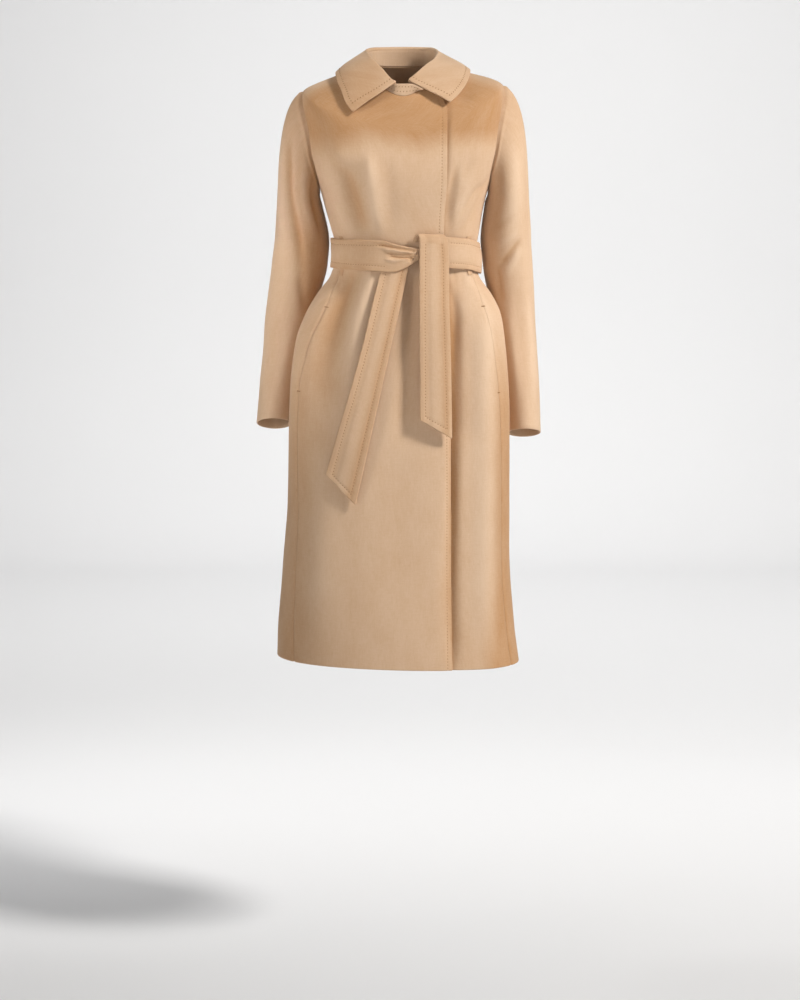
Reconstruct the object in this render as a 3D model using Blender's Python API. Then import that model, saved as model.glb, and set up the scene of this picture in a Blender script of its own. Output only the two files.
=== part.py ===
"""Belted wrap coat of brushed camel wool, knee length, on a standing figure's stance.

Metres, +Z up. The front faces -Y and the wearer's right lies towards -X.
The origin is midway between the shoulders, at the height of the neck points.
"Level" is the height of a torso section where it crosses the side of the body.
Angles run round the body from the centre front (0) over +X (90) to the back (180).
"""
import math

import bmesh
import bpy
import numpy as np

# ---------------------------------------------------------------- driving dimensions
SEAM_GAP = 0.0003
WALL = 0.0028
SLEEVE_WALL = 0.0026
COLLAR_WALL = 0.0030
BELT_WALL = 0.0034
LAP_GAP = 0.0014

NECK_LEVEL = 0.005
HEM_LEVEL = -1.060
SKIRT_TOP = -0.36
HEM_DROP_TO_LEFT = 0.006
LEFT_SHOULDER_RISE = 0.0085
RIGHT_SHOULDER_DROP = 0.0020
SHOULDER_INNER = 0.070
SHOULDER_SPAN = 0.105
SHOULDER_TILT_FOOT = -0.24
SHOULDER_TILT_SPAN = 0.14

ARMHOLE_TOP = -0.040
ARMHOLE_FOOT = -0.214
ARMHOLE_FRONT_DEG = 25.0
ARMHOLE_BACK_DEG = 30.0

UNDERLAP_REACH = 0.076
UNDERLAP_SHARE = 0.6
LAP_EDGE_DEG = 4.0
LAP_FADE_DEG = 20.0

PANEL_COLUMNS_WIDE = 19
PANEL_COLUMNS_NARROW = 14
BACK_COLUMNS = 21
SLEEVE_COLUMNS = 20
SLEEVE_ROWS = 12
CAP_ROWS = 6
COLLAR_COLUMNS_ACROSS = 32
BELT_ROWS = 4
BELT_COLUMNS_ROUND = 30

# Levels of the body panels' rows above and below the armhole.
YOKE_LEVELS = (0.005, -0.004, -0.014, -0.026)
WAIST_LEVELS = (-0.238, -0.264, -0.290, -0.316, -0.342, -0.366, -0.388, -0.412, -0.440)
SKIRT_LEVELS = (-0.475, -0.520, -0.580, -0.660, -0.750, -0.850, -0.955, HEM_LEVEL)

# How the sleeve cap leaves the armhole: sideways and down, at its inner and outer side.
CAP_FULLNESS = 0.70
CAP_SIDEWAYS = (0.15, 0.95)
CAP_DOWN = (1.00, 0.32)
CAP_ARRIVAL = 0.9
ARMHOLE_SEAM_GAP = 3.0 * SEAM_GAP

LOOP_WIDTH = 0.012
LOOP_WALL = 0.0010
LOOP_OFF = 0.0007
LOOP_LEVELS = (-0.366, -0.342, -0.316, -0.298)
LOOP_RIGHT_DEG = -58.5
LOOP_LEFT_DEG = 56.0

KNOT_CENTRE = (0.0485, -0.3225)
KNOT_HALF_WIDTH = 0.0235
KNOT_HALF_HEIGHT = 0.0220
KNOT_DEPTH = 0.0125
KNOT_OFF = 0.0045
KNOT_PLEATS = 3
KNOT_PLEAT_DEPTH = 0.0010
KNOT_COLUMNS = 16
KNOT_ROWS = 8
# Powers below 1 fill the knot out: its ends, its height, its width, its depth.
KNOT_END_POWER = 0.60
KNOT_HEIGHT_POWER = 0.85
KNOT_WIDTH_POWER = 0.75
KNOT_DEPTH_POWER = 0.85

# Sections of the torso, neckline to hem. Widths and depths are measured from
# the section's own centre; "square" fills the section out between its axes.
TORSO_COLUMNS = ("level", "front_z", "back_z", "half_width", "front", "back",
                 "centre_x", "centre_y", "square")
TORSO = (
    # level, front_z, back_z, half_width, front, back, centre_x, centre_y, square
    (0.005, -0.056, 0.004, 0.068, 0.096, 0.066, 0.000, 0.002, 0.00),     # neckline
    (-0.006, -0.068, -0.012, 0.094, 0.100, 0.080, 0.000, 0.002, 0.02),   # collar seat
    (-0.017, -0.085, -0.030, 0.124, 0.104, 0.090, 0.000, 0.002, 0.04),   # mid shoulder
    (-0.028, -0.097, -0.045, 0.154, 0.1075, 0.095, 0.000, 0.002, 0.055),  # outer shoulder
    (-0.036, -0.106, -0.057, 0.171, 0.110, 0.0985, 0.000, 0.002, 0.07),  # shoulder tip
    (-0.044, -0.113, -0.066, 0.1785, 0.112, 0.1005, 0.000, 0.002, 0.08),  # sleeve head
    (-0.060, -0.124, -0.083, 0.1800, 0.1145, 0.104, 0.000, 0.002, 0.085),  # chest top
    (-0.100, -0.145, -0.115, 0.1765, 0.117, 0.106, 0.001, 0.001, 0.085),  # upper chest
    (-0.145, -0.170, -0.155, 0.1715, 0.120, 0.106, 0.001, 0.000, 0.08),  # mid chest
    (-0.178, -0.190, -0.182, 0.1620, 0.121, 0.104, 0.001, 0.000, 0.07),  # bust
    (-0.214, -0.214, -0.214, 0.1500, 0.119, 0.100, 0.002, 0.000, 0.06),  # armhole foot
    (-0.241, -0.241, -0.241, 0.1425, 0.114, 0.095, 0.002, 0.000, 0.05),  # under bust
    (-0.280, -0.280, -0.280, 0.1335, 0.105, 0.088, 0.004, -0.001, 0.04),  # above belt
    (-0.330, -0.330, -0.330, 0.1245, 0.098, 0.083, 0.0060, -0.002, 0.04),  # waist
    (-0.366, -0.366, -0.366, 0.1320, 0.098, 0.090, 0.003, -0.004, 0.04),  # below belt
    (-0.400, -0.400, -0.400, 0.1555, 0.098, 0.104, 0.002, -0.008, 0.03),  # hip top
    (-0.434, -0.434, -0.434, 0.1735, 0.098, 0.117, 0.000, -0.013, 0.03),  # hip
    (-0.480, -0.480, -0.480, 0.1860, 0.098, 0.128, -0.005, -0.016, 0.03),  # low hip
    (-0.560, -0.560, -0.560, 0.1950, 0.102, 0.136, -0.007, -0.017, 0.03),  # pocket foot
    (-0.640, -0.640, -0.640, 0.1985, 0.106, 0.140, -0.007, -0.016, 0.03),  # thigh
    (-0.774, -0.774, -0.774, 0.2005, 0.112, 0.145, -0.008, -0.014, 0.03),  # upper skirt
    (-0.900, -0.900, -0.900, 0.2065, 0.118, 0.152, -0.012, -0.012, 0.03),  # mid skirt
    (-0.992, -0.992, -0.992, 0.2145, 0.122, 0.157, -0.012, -0.011, 0.03),  # low skirt
    (-1.060, -1.060, -1.060, 0.2205, 0.125, 0.160, -0.009, -0.010, 0.03),  # hem
)

# Where the panels meet at the side, as angles ahead of the side line.
SIDE_SEAM_COLUMNS = ("level", "right", "left")
SIDE_SEAM = (
    # level, wearer's right, wearer's left
    (-0.214, 90.0, 90.0),
    (-0.262, 82.0, 82.0),
    (-0.300, 75.0, 75.0),
    (-0.358, 64.5, 64.5),
    (-0.420, 53.5, 54.0),
    (-0.500, 58.5, 58.5),
    (-0.572, 63.5, 62.5),
    (-0.656, 64.0, 64.0),
    (-0.830, 60.0, 64.5),
    (-1.060, 56.0, 66.0),
)

# How far the overlapping front reaches past the centre.
FRONT_EDGE_COLUMNS = ("level", "reach")
FRONT_EDGE = (
    # level, reach past the centre line
    (0.005, 0.0460),
    (-0.004, 0.0590),
    (-0.014, 0.0690),
    (-0.026, 0.0755),
    (-0.195, 0.0756),
    (-0.290, 0.0711),
    (-0.360, 0.0750),
    (-0.650, 0.0854),
    (-1.060, 0.0881),
)

# Soft folds of the cloth: a straight crest or trough from one place to another.
# A positive height stands out, a negative one sinks in.
FOLD_COLUMNS = ("top_deg", "top_level", "foot_deg", "foot_level", "half_deg", "height")
FOLD_OVERSHOOT = 0.12
FOLD_FADE_IN = 0.30
FOLD_FADE_OUT = 0.35
FOLD_TOP_SPREAD = 0.85
FOLD_FOOT_SPREAD = 1.25
FOLDS = (
    # top_deg, top_level, foot_deg, foot_level, half_deg, height
    (-35.0, -0.150, -29.0, -0.300, 6.0, -0.0045),   # hollow beside the right bust
    (-17.0, -0.130, -17.0, -0.300, 5.0, 0.0025),    # crest nearer the centre
    (-52.0, -0.170, -55.0, -0.300, 6.0, 0.0025),    # crest by the right side
    (40.0, -0.165, 34.0, -0.300, 3.6, -0.0040),     # pull beside the front edge
    (68.0, -0.190, 44.0, -0.300, 4.5, -0.0025),     # pull from the left armhole
    (-44.0, -0.362, -42.0, -0.590, 8.0, -0.0065),   # hollow over the right pocket
    (-24.0, -0.368, -28.0, -0.700, 7.0, 0.0040),    # crest under the side tie end
    (-66.0, -0.372, -72.0, -0.620, 7.0, 0.0020),    # crest behind the right pocket
    (38.0, -0.372, 30.0, -1.000, 3.8, -0.0040),     # trough beside the front edge
    (55.0, -0.380, 45.0, -1.060, 7.5, 0.0055),      # crest down the left skirt
    (78.0, -0.380, 84.0, -0.640, 7.0, 0.0020),      # crest behind the left pocket
    (118.0, -0.372, 112.0, -1.060, 9.0, 0.0060),    # back skirt, left flare
    (140.0, -0.368, 138.0, -0.940, 6.5, -0.0060),   # back skirt, hollow
    (158.0, -0.366, 155.0, -1.060, 8.0, 0.0065),    # back skirt, crest
    (180.0, -0.366, 181.0, -0.820, 6.5, -0.0050),   # back skirt, centre hollow
    (204.0, -0.366, 208.0, -1.060, 8.5, 0.0070),    # back skirt, crest
    (224.0, -0.368, 228.0, -0.900, 6.0, -0.0055),   # back skirt, hollow
    (245.0, -0.372, 250.0, -1.060, 9.0, 0.0060),    # back skirt, right flare
    (150.0, -0.160, 157.0, -0.300, 6.0, -0.0035),   # back waist, pull
    (207.0, -0.150, 202.0, -0.300, 5.5, -0.0040),   # back waist, pull
    (180.0, -0.190, 179.0, -0.300, 5.0, 0.0030),    # back waist, crest
)

# The collar stand's upper edge, by angle from the centre back.
STAND_COLUMNS = ("turn", "x", "y", "z")
STAND_TOP = (
    # turn, x, y, z
    (-202.0, 0.0330, -0.0955, -0.0460),
    (-190.0, 0.0130, -0.0975, -0.0370),
    (-173.0, -0.0130, -0.0955, -0.0365),
    (-150.0, -0.0385, -0.0720, -0.0130),
    (-120.0, -0.0590, -0.0380, 0.0100),
    (-90.0, -0.0645, -0.0020, 0.0220),
    (-50.0, -0.0490, 0.0450, 0.0300),
    (0.0, 0.0000, 0.0650, 0.0320),
    (50.0, 0.0480, 0.0450, 0.0300),
    (90.0, 0.0615, -0.0020, 0.0190),
    (120.0, 0.0560, -0.0360, 0.0065),
    (150.0, 0.0360, -0.0660, -0.0135),
    (172.0, 0.0120, -0.0870, -0.0330),
    (186.0, -0.0040, -0.0905, -0.0400),
)
STAND_START = -202.0
STAND_END = 184.0
STAND_LAP_START = 120.0
STAND_LAP_SPAN = 25.0
STAND_ROWS = 3

# The collar's outer edge, which lies over the shoulders and the back.
COLLAR_COLUMNS = ("share", "turn", "level", "lift")
COLLAR_EDGE = (
    # share, turn, level, lift
    (-1.00, -150.5, -0.0330, 0.0060),
    (-0.86, -130.0, -0.0200, 0.0070),
    (-0.70, -108.0, -0.0155, 0.0050),
    (-0.55, -88.0, -0.0140, 0.0040),
    (-0.30, -45.0, -0.0170, 0.0040),
    (0.00, 0.0, -0.0240, 0.0040),
    (0.30, 45.0, -0.0170, 0.0040),
    (0.55, 88.0, -0.0140, 0.0040),
    (0.70, 108.0, -0.0155, 0.0050),
    (0.86, 129.0, -0.0190, 0.0080),
    (1.00, 147.0, -0.0230, 0.0100),
)
COLLAR_TURN = 172.0

# The roll over the stand's edge, out from the neck and up, then the fall's share
# of the way to its outer edge and how far it swells off the straight line.
COLLAR_ROLL = ((-0.0030, 0.0014), (-0.0024, 0.0040), (0.0010, 0.0058), (0.0052, 0.0034))
COLLAR_FALL = ((0.36, 0.0060), (0.70, 0.0045))
COLLAR_ROLL_RISE = 1.12
SLOPE_STEP_DEG = 2.0

# Sleeve sections below the cap. "rise" lifts the front of a section.
SLEEVE_COLUMNS_NAMED = ("height", "x", "y", "half_x", "half_y", "rise")
SLEEVE_RIGHT = (
    # height, x, y, half_x, half_y, rise
    (-0.240, -0.1870, 0.013, 0.0385, 0.059, 0.000),
    (-0.300, -0.1835, 0.030, 0.0470, 0.056, 0.000),
    (-0.350, -0.1870, 0.044, 0.0505, 0.054, 0.001),
    (-0.400, -0.1975, 0.058, 0.0475, 0.052, 0.003),
    (-0.450, -0.2085, 0.068, 0.0425, 0.050, 0.005),
    (-0.510, -0.2175, 0.074, 0.0380, 0.049, 0.008),
    (-0.570, -0.2275, 0.074, 0.0350, 0.048, 0.011),
    (-0.640, -0.2365, 0.070, 0.0325, 0.047, 0.014),
)
SLEEVE_LEFT = (
    # height, x, y, half_x, half_y, rise
    (-0.240, 0.1875, 0.013, 0.0385, 0.059, 0.000),
    (-0.300, 0.1865, 0.029, 0.0440, 0.056, 0.000),
    (-0.350, 0.1895, 0.043, 0.0450, 0.054, 0.001),
    (-0.400, 0.1960, 0.057, 0.0425, 0.052, 0.003),
    (-0.450, 0.2015, 0.068, 0.0400, 0.050, 0.005),
    (-0.510, 0.2085, 0.074, 0.0375, 0.049, 0.007),
    (-0.580, 0.2165, 0.073, 0.0340, 0.048, 0.010),
    (-0.657, 0.2225, 0.069, 0.0308, 0.047, 0.012),
)

# The belt, by angle from its end beside the knot, over the right side, to its other end.
BELT_COLUMNS = ("turn", "centre_z", "half_width", "off")
BELT = (
    # turn, centre_z, half_width, off
    (-9.2, -0.3275, 0.0095, 0.0110),
    (-2.0, -0.3325, 0.0160, 0.0102),
    (6.0, -0.3350, 0.0225, 0.0092),
    (18.0, -0.3315, 0.0265, 0.0075),
    (36.0, -0.3300, 0.0262, 0.0048),
    (60.0, -0.3285, 0.0262, 0.0044),
    (90.0, -0.3275, 0.0262, 0.0030),
    (180.0, -0.3330, 0.0262, 0.0028),
    (262.0, -0.3385, 0.0262, 0.0028),
    (290.0, -0.3345, 0.0262, 0.0030),
    (310.0, -0.3285, 0.0262, 0.0042),
    (327.2, -0.3255, 0.0262, 0.0065),
)

BELT_GATHER_TURNS = (-9.2, -5.5, -2.0, 2.0, 6.0, 12.0)
BELT_PLAIN_START = 18.0

# Hanging tie ends: their middle line, half width and stand-off from the coat.
TIE_COLUMNS = ("step", "x", "z", "half_width", "off")
TIE_FRONT = (
    # step, x, z, half_width, off
    (0.0, 0.0490, -0.3080, 0.0205, 0.0176),
    (1.0, 0.0490, -0.3320, 0.0212, 0.0205),
    (2.0, 0.0500, -0.3800, 0.0222, 0.0210),
    (3.0, 0.0520, -0.4600, 0.0238, 0.0180),
    (4.0, 0.0540, -0.5500, 0.0250, 0.0150),
    (5.0, 0.0555, -0.6310, 0.0262, 0.0125),
)
TIE_FRONT_SLANT = 0.032
TIE_SIDE = (
    # step, x, z, half_width, off
    (0.0, -0.0110, -0.3420, 0.0215, 0.0026),
    (1.0, -0.0160, -0.3640, 0.0218, 0.0040),
    (2.0, -0.0345, -0.4450, 0.0224, 0.0090),
    (3.0, -0.0595, -0.5500, 0.0230, 0.0105),
    (4.0, -0.0860, -0.6560, 0.0236, 0.0085),
    (5.0, -0.1070, -0.7410, 0.0238, 0.0065),
)
TIE_SIDE_SLANT = 0.050
TIE_ROWS = 16
TIE_COLUMNS_ACROSS = 3
TIE_SLANT_START = 0.45
FOLD_OVER_DEGREES = (140.0, 105.0, 70.0, 35.0)
FOLD_OVER_RISE = 0.0175
FOLD_OVER_BACK = 0.0150

# ---------------------------------------------------------------- finishes
CLOTH_COLOUR = (0.604, 0.402, 0.224, 1.0)
BELT_COLOUR = (0.590, 0.388, 0.212, 1.0)
CLOTH_ROUGHNESS = 0.82


# ---------------------------------------------------------------- tables and curves
class Table:
    """A short table of named columns, read between its rows by a smooth curve."""

    def __init__(self, names, rows):
        data = np.array(rows, dtype=float)
        order = np.argsort(data[:, 0])
        self.key = data[order, 0]
        self.step = np.diff(self.key)
        self.columns = {name: data[order, i] for i, name in enumerate(names)}
        self.slopes = {name: self.monotone_slopes(ys) for name, ys in self.columns.items()}

    def monotone_slopes(self, ys):
        """Slopes at the rows that let no curve overshoot its rows."""
        step = self.step
        rate = np.diff(ys) / step
        slope = np.empty_like(ys)
        slope[0] = rate[0]
        slope[-1] = rate[-1]
        for i in range(1, len(ys) - 1):
            before, after = rate[i - 1], rate[i]
            if before * after <= 0.0:
                slope[i] = 0.0
            else:
                w_before = 2.0 * step[i] + step[i - 1]
                w_after = step[i] + 2.0 * step[i - 1]
                slope[i] = (w_before + w_after) / (w_before / before + w_after / after)
        return slope

    def read(self, name, key):
        """Smooth value of a column at one key."""
        xs, ys, slope = self.key, self.columns[name], self.slopes[name]
        key = min(max(key, xs[0]), xs[-1])
        i = min(max(int(np.searchsorted(xs, key)) - 1, 0), len(xs) - 2)
        t = (key - xs[i]) / self.step[i]
        a = ys[i] * (2 * t ** 3 - 3 * t ** 2 + 1) + ys[i + 1] * (3 * t ** 2 - 2 * t ** 3)
        b = slope[i] * (t ** 3 - 2 * t ** 2 + t) + slope[i + 1] * (t ** 3 - t ** 2)
        return float(a + b * self.step[i])


TORSO_TABLE = Table(TORSO_COLUMNS, TORSO)
SEAM_TABLE = Table(SIDE_SEAM_COLUMNS, SIDE_SEAM)
EDGE_TABLE = Table(FRONT_EDGE_COLUMNS, FRONT_EDGE)
STAND_TABLE = Table(STAND_COLUMNS, STAND_TOP)
COLLAR_TABLE = Table(COLLAR_COLUMNS, COLLAR_EDGE)
BELT_TABLE = Table(BELT_COLUMNS, BELT)
FOLD_LINES = [dict(zip(FOLD_COLUMNS, row)) for row in FOLDS]


def smooth_step(value):
    """0 below 0, 1 above 1, with level ends."""
    t = min(max(value, 0.0), 1.0)
    return t * t * (3.0 - 2.0 * t)


def fold_height(deg, level):
    """Sum of the cloth's folds at a place on the torso."""
    total = 0.0
    for fold in FOLD_LINES:
        share = (level - fold["top_level"]) / (fold["foot_level"] - fold["top_level"])
        before = share + FOLD_OVERSHOOT
        beyond = 1.0 + FOLD_OVERSHOOT - share
        if before <= 0.0 or beyond <= 0.0:
            continue
        along = min(max(share, 0.0), 1.0)
        middle = fold["top_deg"] + (fold["foot_deg"] - fold["top_deg"]) * along
        away = (deg - middle + 180.0) % 360.0 - 180.0
        fade = smooth_step(before / FOLD_FADE_IN) * smooth_step(beyond / FOLD_FADE_OUT)
        widening = FOLD_TOP_SPREAD + (FOLD_FOOT_SPREAD - FOLD_TOP_SPREAD) * along
        spread = fold["half_deg"] * widening
        total += fold["height"] * fade * math.exp(-(away / spread) ** 2)
    return total


def section_point(deg, level):
    """Point of the torso's smooth form, before any fold."""
    angle = math.radians(deg)
    side, ahead = math.sin(angle), math.cos(angle)
    read = TORSO_TABLE.read
    fill = 1.0 + read("square", level) * math.sin(2.0 * angle) ** 2
    depth = read("front", level) if ahead > 0.0 else read("back", level)
    middle_z = read("front_z", level) if ahead > 0.0 else read("back_z", level)
    height = level * side * side + middle_z * ahead * ahead
    hem_share = smooth_step((level - SKIRT_TOP) / (HEM_LEVEL - SKIRT_TOP))
    height -= HEM_DROP_TO_LEFT * side * hem_share
    reach = abs(read("half_width", level) * side)
    shoulder = LEFT_SHOULDER_RISE if side > 0.0 else -RIGHT_SHOULDER_DROP
    shoulder *= smooth_step((reach - SHOULDER_INNER) / SHOULDER_SPAN)
    height += shoulder * smooth_step((level - SHOULDER_TILT_FOOT) / SHOULDER_TILT_SPAN)
    return np.array((
        read("centre_x", level) + read("half_width", level) * fill * side,
        read("centre_y", level) - depth * fill * ahead,
        height,
    ))


def section_normal(deg, level):
    """Outward direction of the smooth form."""
    d_deg, d_level = 0.6, 0.0015
    low = max(level - d_level, HEM_LEVEL)
    high = min(level + d_level, NECK_LEVEL)
    around = section_point(deg + d_deg, level) - section_point(deg - d_deg, level)
    upward = section_point(deg, high) - section_point(deg, low)
    normal = np.cross(around, upward)
    return normal / np.linalg.norm(normal)


def torso_point(deg, level, off=0.0):
    """Point of the coat's outside, moved out by off."""
    normal = section_normal(deg, level)
    return section_point(deg, level) + normal * (fold_height(deg, level) + off)


def angle_at(x, level):
    """Angle on the front half whose point lies at this x."""
    low, high = -89.0, 89.0
    for _ in range(26):
        middle = 0.5 * (low + high)
        if section_point(middle, level)[0] < x:
            low = middle
        else:
            high = middle
    return 0.5 * (low + high)


def edge_angle(level):
    """Angle of the overlapping front's edge."""
    return angle_at(EDGE_TABLE.read("reach", level), level)


# ---------------------------------------------------------------- mesh helpers
def cloth_material(name, colour, roughness):
    """Brushed wool cloth."""
    material = bpy.data.materials.new(name)
    material.use_nodes = True
    shader = material.node_tree.nodes["Principled BSDF"]
    shader.inputs["Base Color"].default_value = colour
    shader.inputs["Roughness"].default_value = roughness
    shader.inputs["Metallic"].default_value = 0.0
    material.diffuse_color = colour
    return material


def grid_normals(grid, closed):
    """Unit normals of a grid of points, rows along and columns across."""
    along = np.gradient(grid, axis=0)
    if closed:
        across = 0.5 * (np.roll(grid, -1, axis=1) - np.roll(grid, 1, axis=1))
    else:
        across = np.gradient(grid, axis=1)
    normal = np.cross(across, along)
    return normal / np.linalg.norm(normal, axis=2, keepdims=True)


def add_object(name, points, faces, colour):
    """Closed mesh object with its faces pointing out."""
    mesh = bpy.data.meshes.new(name)
    mesh.from_pydata([tuple(p) for p in points], [], faces)
    body = bmesh.new()
    body.from_mesh(mesh)
    bmesh.ops.recalc_face_normals(body, faces=body.faces)
    body.to_mesh(mesh)
    body.free()
    mesh.shade_smooth()
    mesh.set_sharp_from_angle(angle=math.radians(50.0))
    mesh.materials.append(cloth_material(name + "_cloth", colour, CLOTH_ROUGHNESS))
    result = bpy.data.objects.new(name, mesh)
    bpy.context.collection.objects.link(result)
    return result


def wall(name, grid, thickness, colour=CLOTH_COLOUR, closed=False, inward=1.0):
    """Cloth wall: a grid of outer points and the same grid moved in by its thickness.

    inward is 1 where rows run down and columns run with the angle, else -1.
    """
    inner = grid + grid_normals(grid, closed) * thickness * inward
    return two_sided(name, grid, inner, colour, closed)


def two_sided(name, grid, inner, colour, closed=False):
    """Closed wall between an outer and an inner grid of points."""
    rows, columns = grid.shape[:2]
    points = np.concatenate((grid.reshape(-1, 3), inner.reshape(-1, 3)))
    shift = rows * columns
    faces = []
    last = columns if closed else columns - 1
    for r in range(rows - 1):
        for c in range(last):
            a = r * columns + c
            b = r * columns + (c + 1) % columns
            faces.append((a, b, b + columns, a + columns))
            faces.append((a + shift, a + columns + shift, b + columns + shift, b + shift))
    for c in range(last):
        for r in (0, rows - 1):
            a = r * columns + c
            b = r * columns + (c + 1) % columns
            faces.append((a, b, b + shift, a + shift))
    if not closed:
        for r in range(rows - 1):
            for c in (0, columns - 1):
                a = r * columns + c
                b = a + columns
                faces.append((a, b, b + shift, a + shift))
    return add_object(name, points, faces, colour)


# ---------------------------------------------------------------- body panels
def armhole_share(level):
    """0 at the armhole's top and foot, 1 at its middle."""
    middle = 0.5 * (ARMHOLE_TOP + ARMHOLE_FOOT)
    half = 0.5 * (ARMHOLE_TOP - ARMHOLE_FOOT)
    return math.sqrt(max(0.0, 1.0 - ((level - middle) / half) ** 2))


def front_border(level, side):
    """Angle, from the centre front, of a front panel's outer border. side: right or left."""
    if level > ARMHOLE_TOP:
        return 90.0
    if level > ARMHOLE_FOOT:
        return 90.0 - ARMHOLE_FRONT_DEG * armhole_share(level)
    return SEAM_TABLE.read(side, level)


def back_border(level, side):
    """Angle, from the centre front, of the back's border on one side."""
    if level > ARMHOLE_TOP:
        return 90.0
    if level > ARMHOLE_FOOT:
        return 90.0 + ARMHOLE_BACK_DEG * armhole_share(level)
    return SEAM_TABLE.read(side, level)


def panel_levels():
    """Levels of the panel rows: close at the armhole's ends, wide in the skirt."""
    middle = 0.5 * (ARMHOLE_TOP + ARMHOLE_FOOT)
    half = 0.5 * (ARMHOLE_TOP - ARMHOLE_FOOT)
    steps = SLEEVE_COLUMNS // 2
    armhole = [middle + half * math.cos(math.pi * i / steps) for i in range(steps + 1)]
    return list(YOKE_LEVELS) + armhole + list(WAIST_LEVELS) + list(SKIRT_LEVELS)


def degree_gap(deg, level, gap):
    """Turn that moves a point by this distance round the section."""
    step = section_point(deg + 0.5, level) - section_point(deg - 0.5, level)
    return gap / np.linalg.norm(step)


def panel(name, levels, start, end, columns, off):
    """One body panel between two borders given as functions of the level."""
    grid = np.zeros((len(levels), columns + 1, 3))
    inner = np.zeros_like(grid)
    for r, level in enumerate(levels):
        first, last = start(level), end(level)
        first += degree_gap(first, level, SEAM_GAP)
        last -= degree_gap(last, level, SEAM_GAP)
        for c in range(columns + 1):
            deg = first + (last - first) * c / columns
            grid[r, c] = torso_point(deg, level, off(deg, level))
            inner[r, c] = torso_point(deg, level, off(deg, level) - WALL)
    return two_sided(name, grid, inner, CLOTH_COLOUR)


def no_lap(_deg, _level):
    """A panel that lies on nothing keeps the coat's own surface."""
    return 0.0


def under_lap(deg, level):
    """The underlapping front lies one wall further in, up to the front edge."""
    edge = edge_angle(level)
    faded = smooth_step((deg - edge - LAP_EDGE_DEG) / LAP_FADE_DEG)
    return -(WALL + LAP_GAP) * (1.0 - faded)


def underlap_start(level):
    """Inner border of the underlapping front."""
    reach = min(UNDERLAP_REACH, UNDERLAP_SHARE * TORSO_TABLE.read("half_width", level))
    return angle_at(-reach, level)


def body_panels():
    """Two overlapping fronts and a one-piece back."""
    levels = panel_levels()
    panel("front_right", levels, lambda v: -front_border(v, "right"), edge_angle,
          PANEL_COLUMNS_WIDE, no_lap)
    panel("front_left", levels, underlap_start, lambda v: front_border(v, "left"),
          PANEL_COLUMNS_NARROW, under_lap)
    panel("back", levels, lambda v: back_border(v, "left"),
          lambda v: 360.0 - back_border(v, "right"), BACK_COLUMNS, no_lap)


# ---------------------------------------------------------------- sleeves
def armhole_point(turn, sign):
    """Point of the armhole's rim. turn 0 is the top, 90 the front, 180 the foot."""
    angle = math.radians(turn)
    middle = 0.5 * (ARMHOLE_TOP + ARMHOLE_FOOT)
    half = 0.5 * (ARMHOLE_TOP - ARMHOLE_FOOT)
    level = middle + half * math.cos(angle)
    swing = ARMHOLE_FRONT_DEG if math.sin(angle) > 0.0 else ARMHOLE_BACK_DEG
    deg = 90.0 - swing * math.sin(angle)
    rim = torso_point(sign * deg, level)
    hub = section_point(sign * 90.0, middle)
    inwards = hub - rim
    return rim + inwards / np.linalg.norm(inwards) * ARMHOLE_SEAM_GAP


def sleeve(name, table_rows, sign):
    """Set-in sleeve: a cap that leaves the armhole, then sections down to the cuff."""
    table = Table(SLEEVE_COLUMNS_NAMED, table_rows)
    top, foot = table_rows[0][0], table_rows[-1][0]

    def ring_point(turn, height):
        angle = math.radians(turn)
        out, ahead = math.cos(angle), math.sin(angle)
        x = table.read("x", height) + sign * table.read("half_x", height) * out
        y = table.read("y", height) - table.read("half_y", height) * ahead
        z = height + table.read("rise", height) * ahead
        return np.array((x, y, z))

    turns = [360.0 * c / SLEEVE_COLUMNS for c in range(SLEEVE_COLUMNS)]
    slope_drop = 0.01
    rows = []
    for i in range(CAP_ROWS):
        t = i / CAP_ROWS
        row = []
        for turn in turns:
            start = armhole_point(turn, sign)
            end = ring_point(turn, top)
            reach = np.linalg.norm(end - start)
            out_share = 0.5 * (1.0 + math.cos(math.radians(turn)))
            sideways = CAP_SIDEWAYS[0] + (CAP_SIDEWAYS[1] - CAP_SIDEWAYS[0]) * out_share
            down = CAP_DOWN[0] + (CAP_DOWN[1] - CAP_DOWN[0]) * out_share
            leave = np.array((sign * sideways, 0.0, -down)) * reach * CAP_FULLNESS
            run = (ring_point(turn, top - slope_drop) - end) / slope_drop
            arrive = run * reach * CAP_ARRIVAL
            h00 = 2 * t ** 3 - 3 * t ** 2 + 1
            h10 = t ** 3 - 2 * t ** 2 + t
            h01 = 3 * t ** 2 - 2 * t ** 3
            h11 = t ** 3 - t ** 2
            row.append(start * h00 + leave * h10 + end * h01 + arrive * h11)
        rows.append(row)
    for i in range(SLEEVE_ROWS + 1):
        height = top + (foot - top) * i / SLEEVE_ROWS
        rows.append([ring_point(turn, height) for turn in turns])
    return wall(name, np.array(rows), SLEEVE_WALL, closed=True, inward=-sign)


# ---------------------------------------------------------------- collar
def stand_top(turn):
    """Upper edge of the stand."""
    return np.array([STAND_TABLE.read(axis, turn) for axis in ("x", "y", "z")])


def stand_outward(turn):
    """Level direction away from the neck, square to the stand's upper edge."""
    along = stand_top(turn + SLOPE_STEP_DEG) - stand_top(turn - SLOPE_STEP_DEG)
    outward = np.cross(along * (1.0, 1.0, 0.0), (0.0, 0.0, 1.0))
    outward *= -1.0 if np.dot(outward, stand_top(turn)) < 0.0 else 1.0
    return outward / np.linalg.norm(outward)


def stand_lap(turn):
    """The wearer's left end of the stand lies inside the other one."""
    return (WALL + LAP_GAP) * smooth_step((turn - STAND_LAP_START) / STAND_LAP_SPAN)


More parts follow.
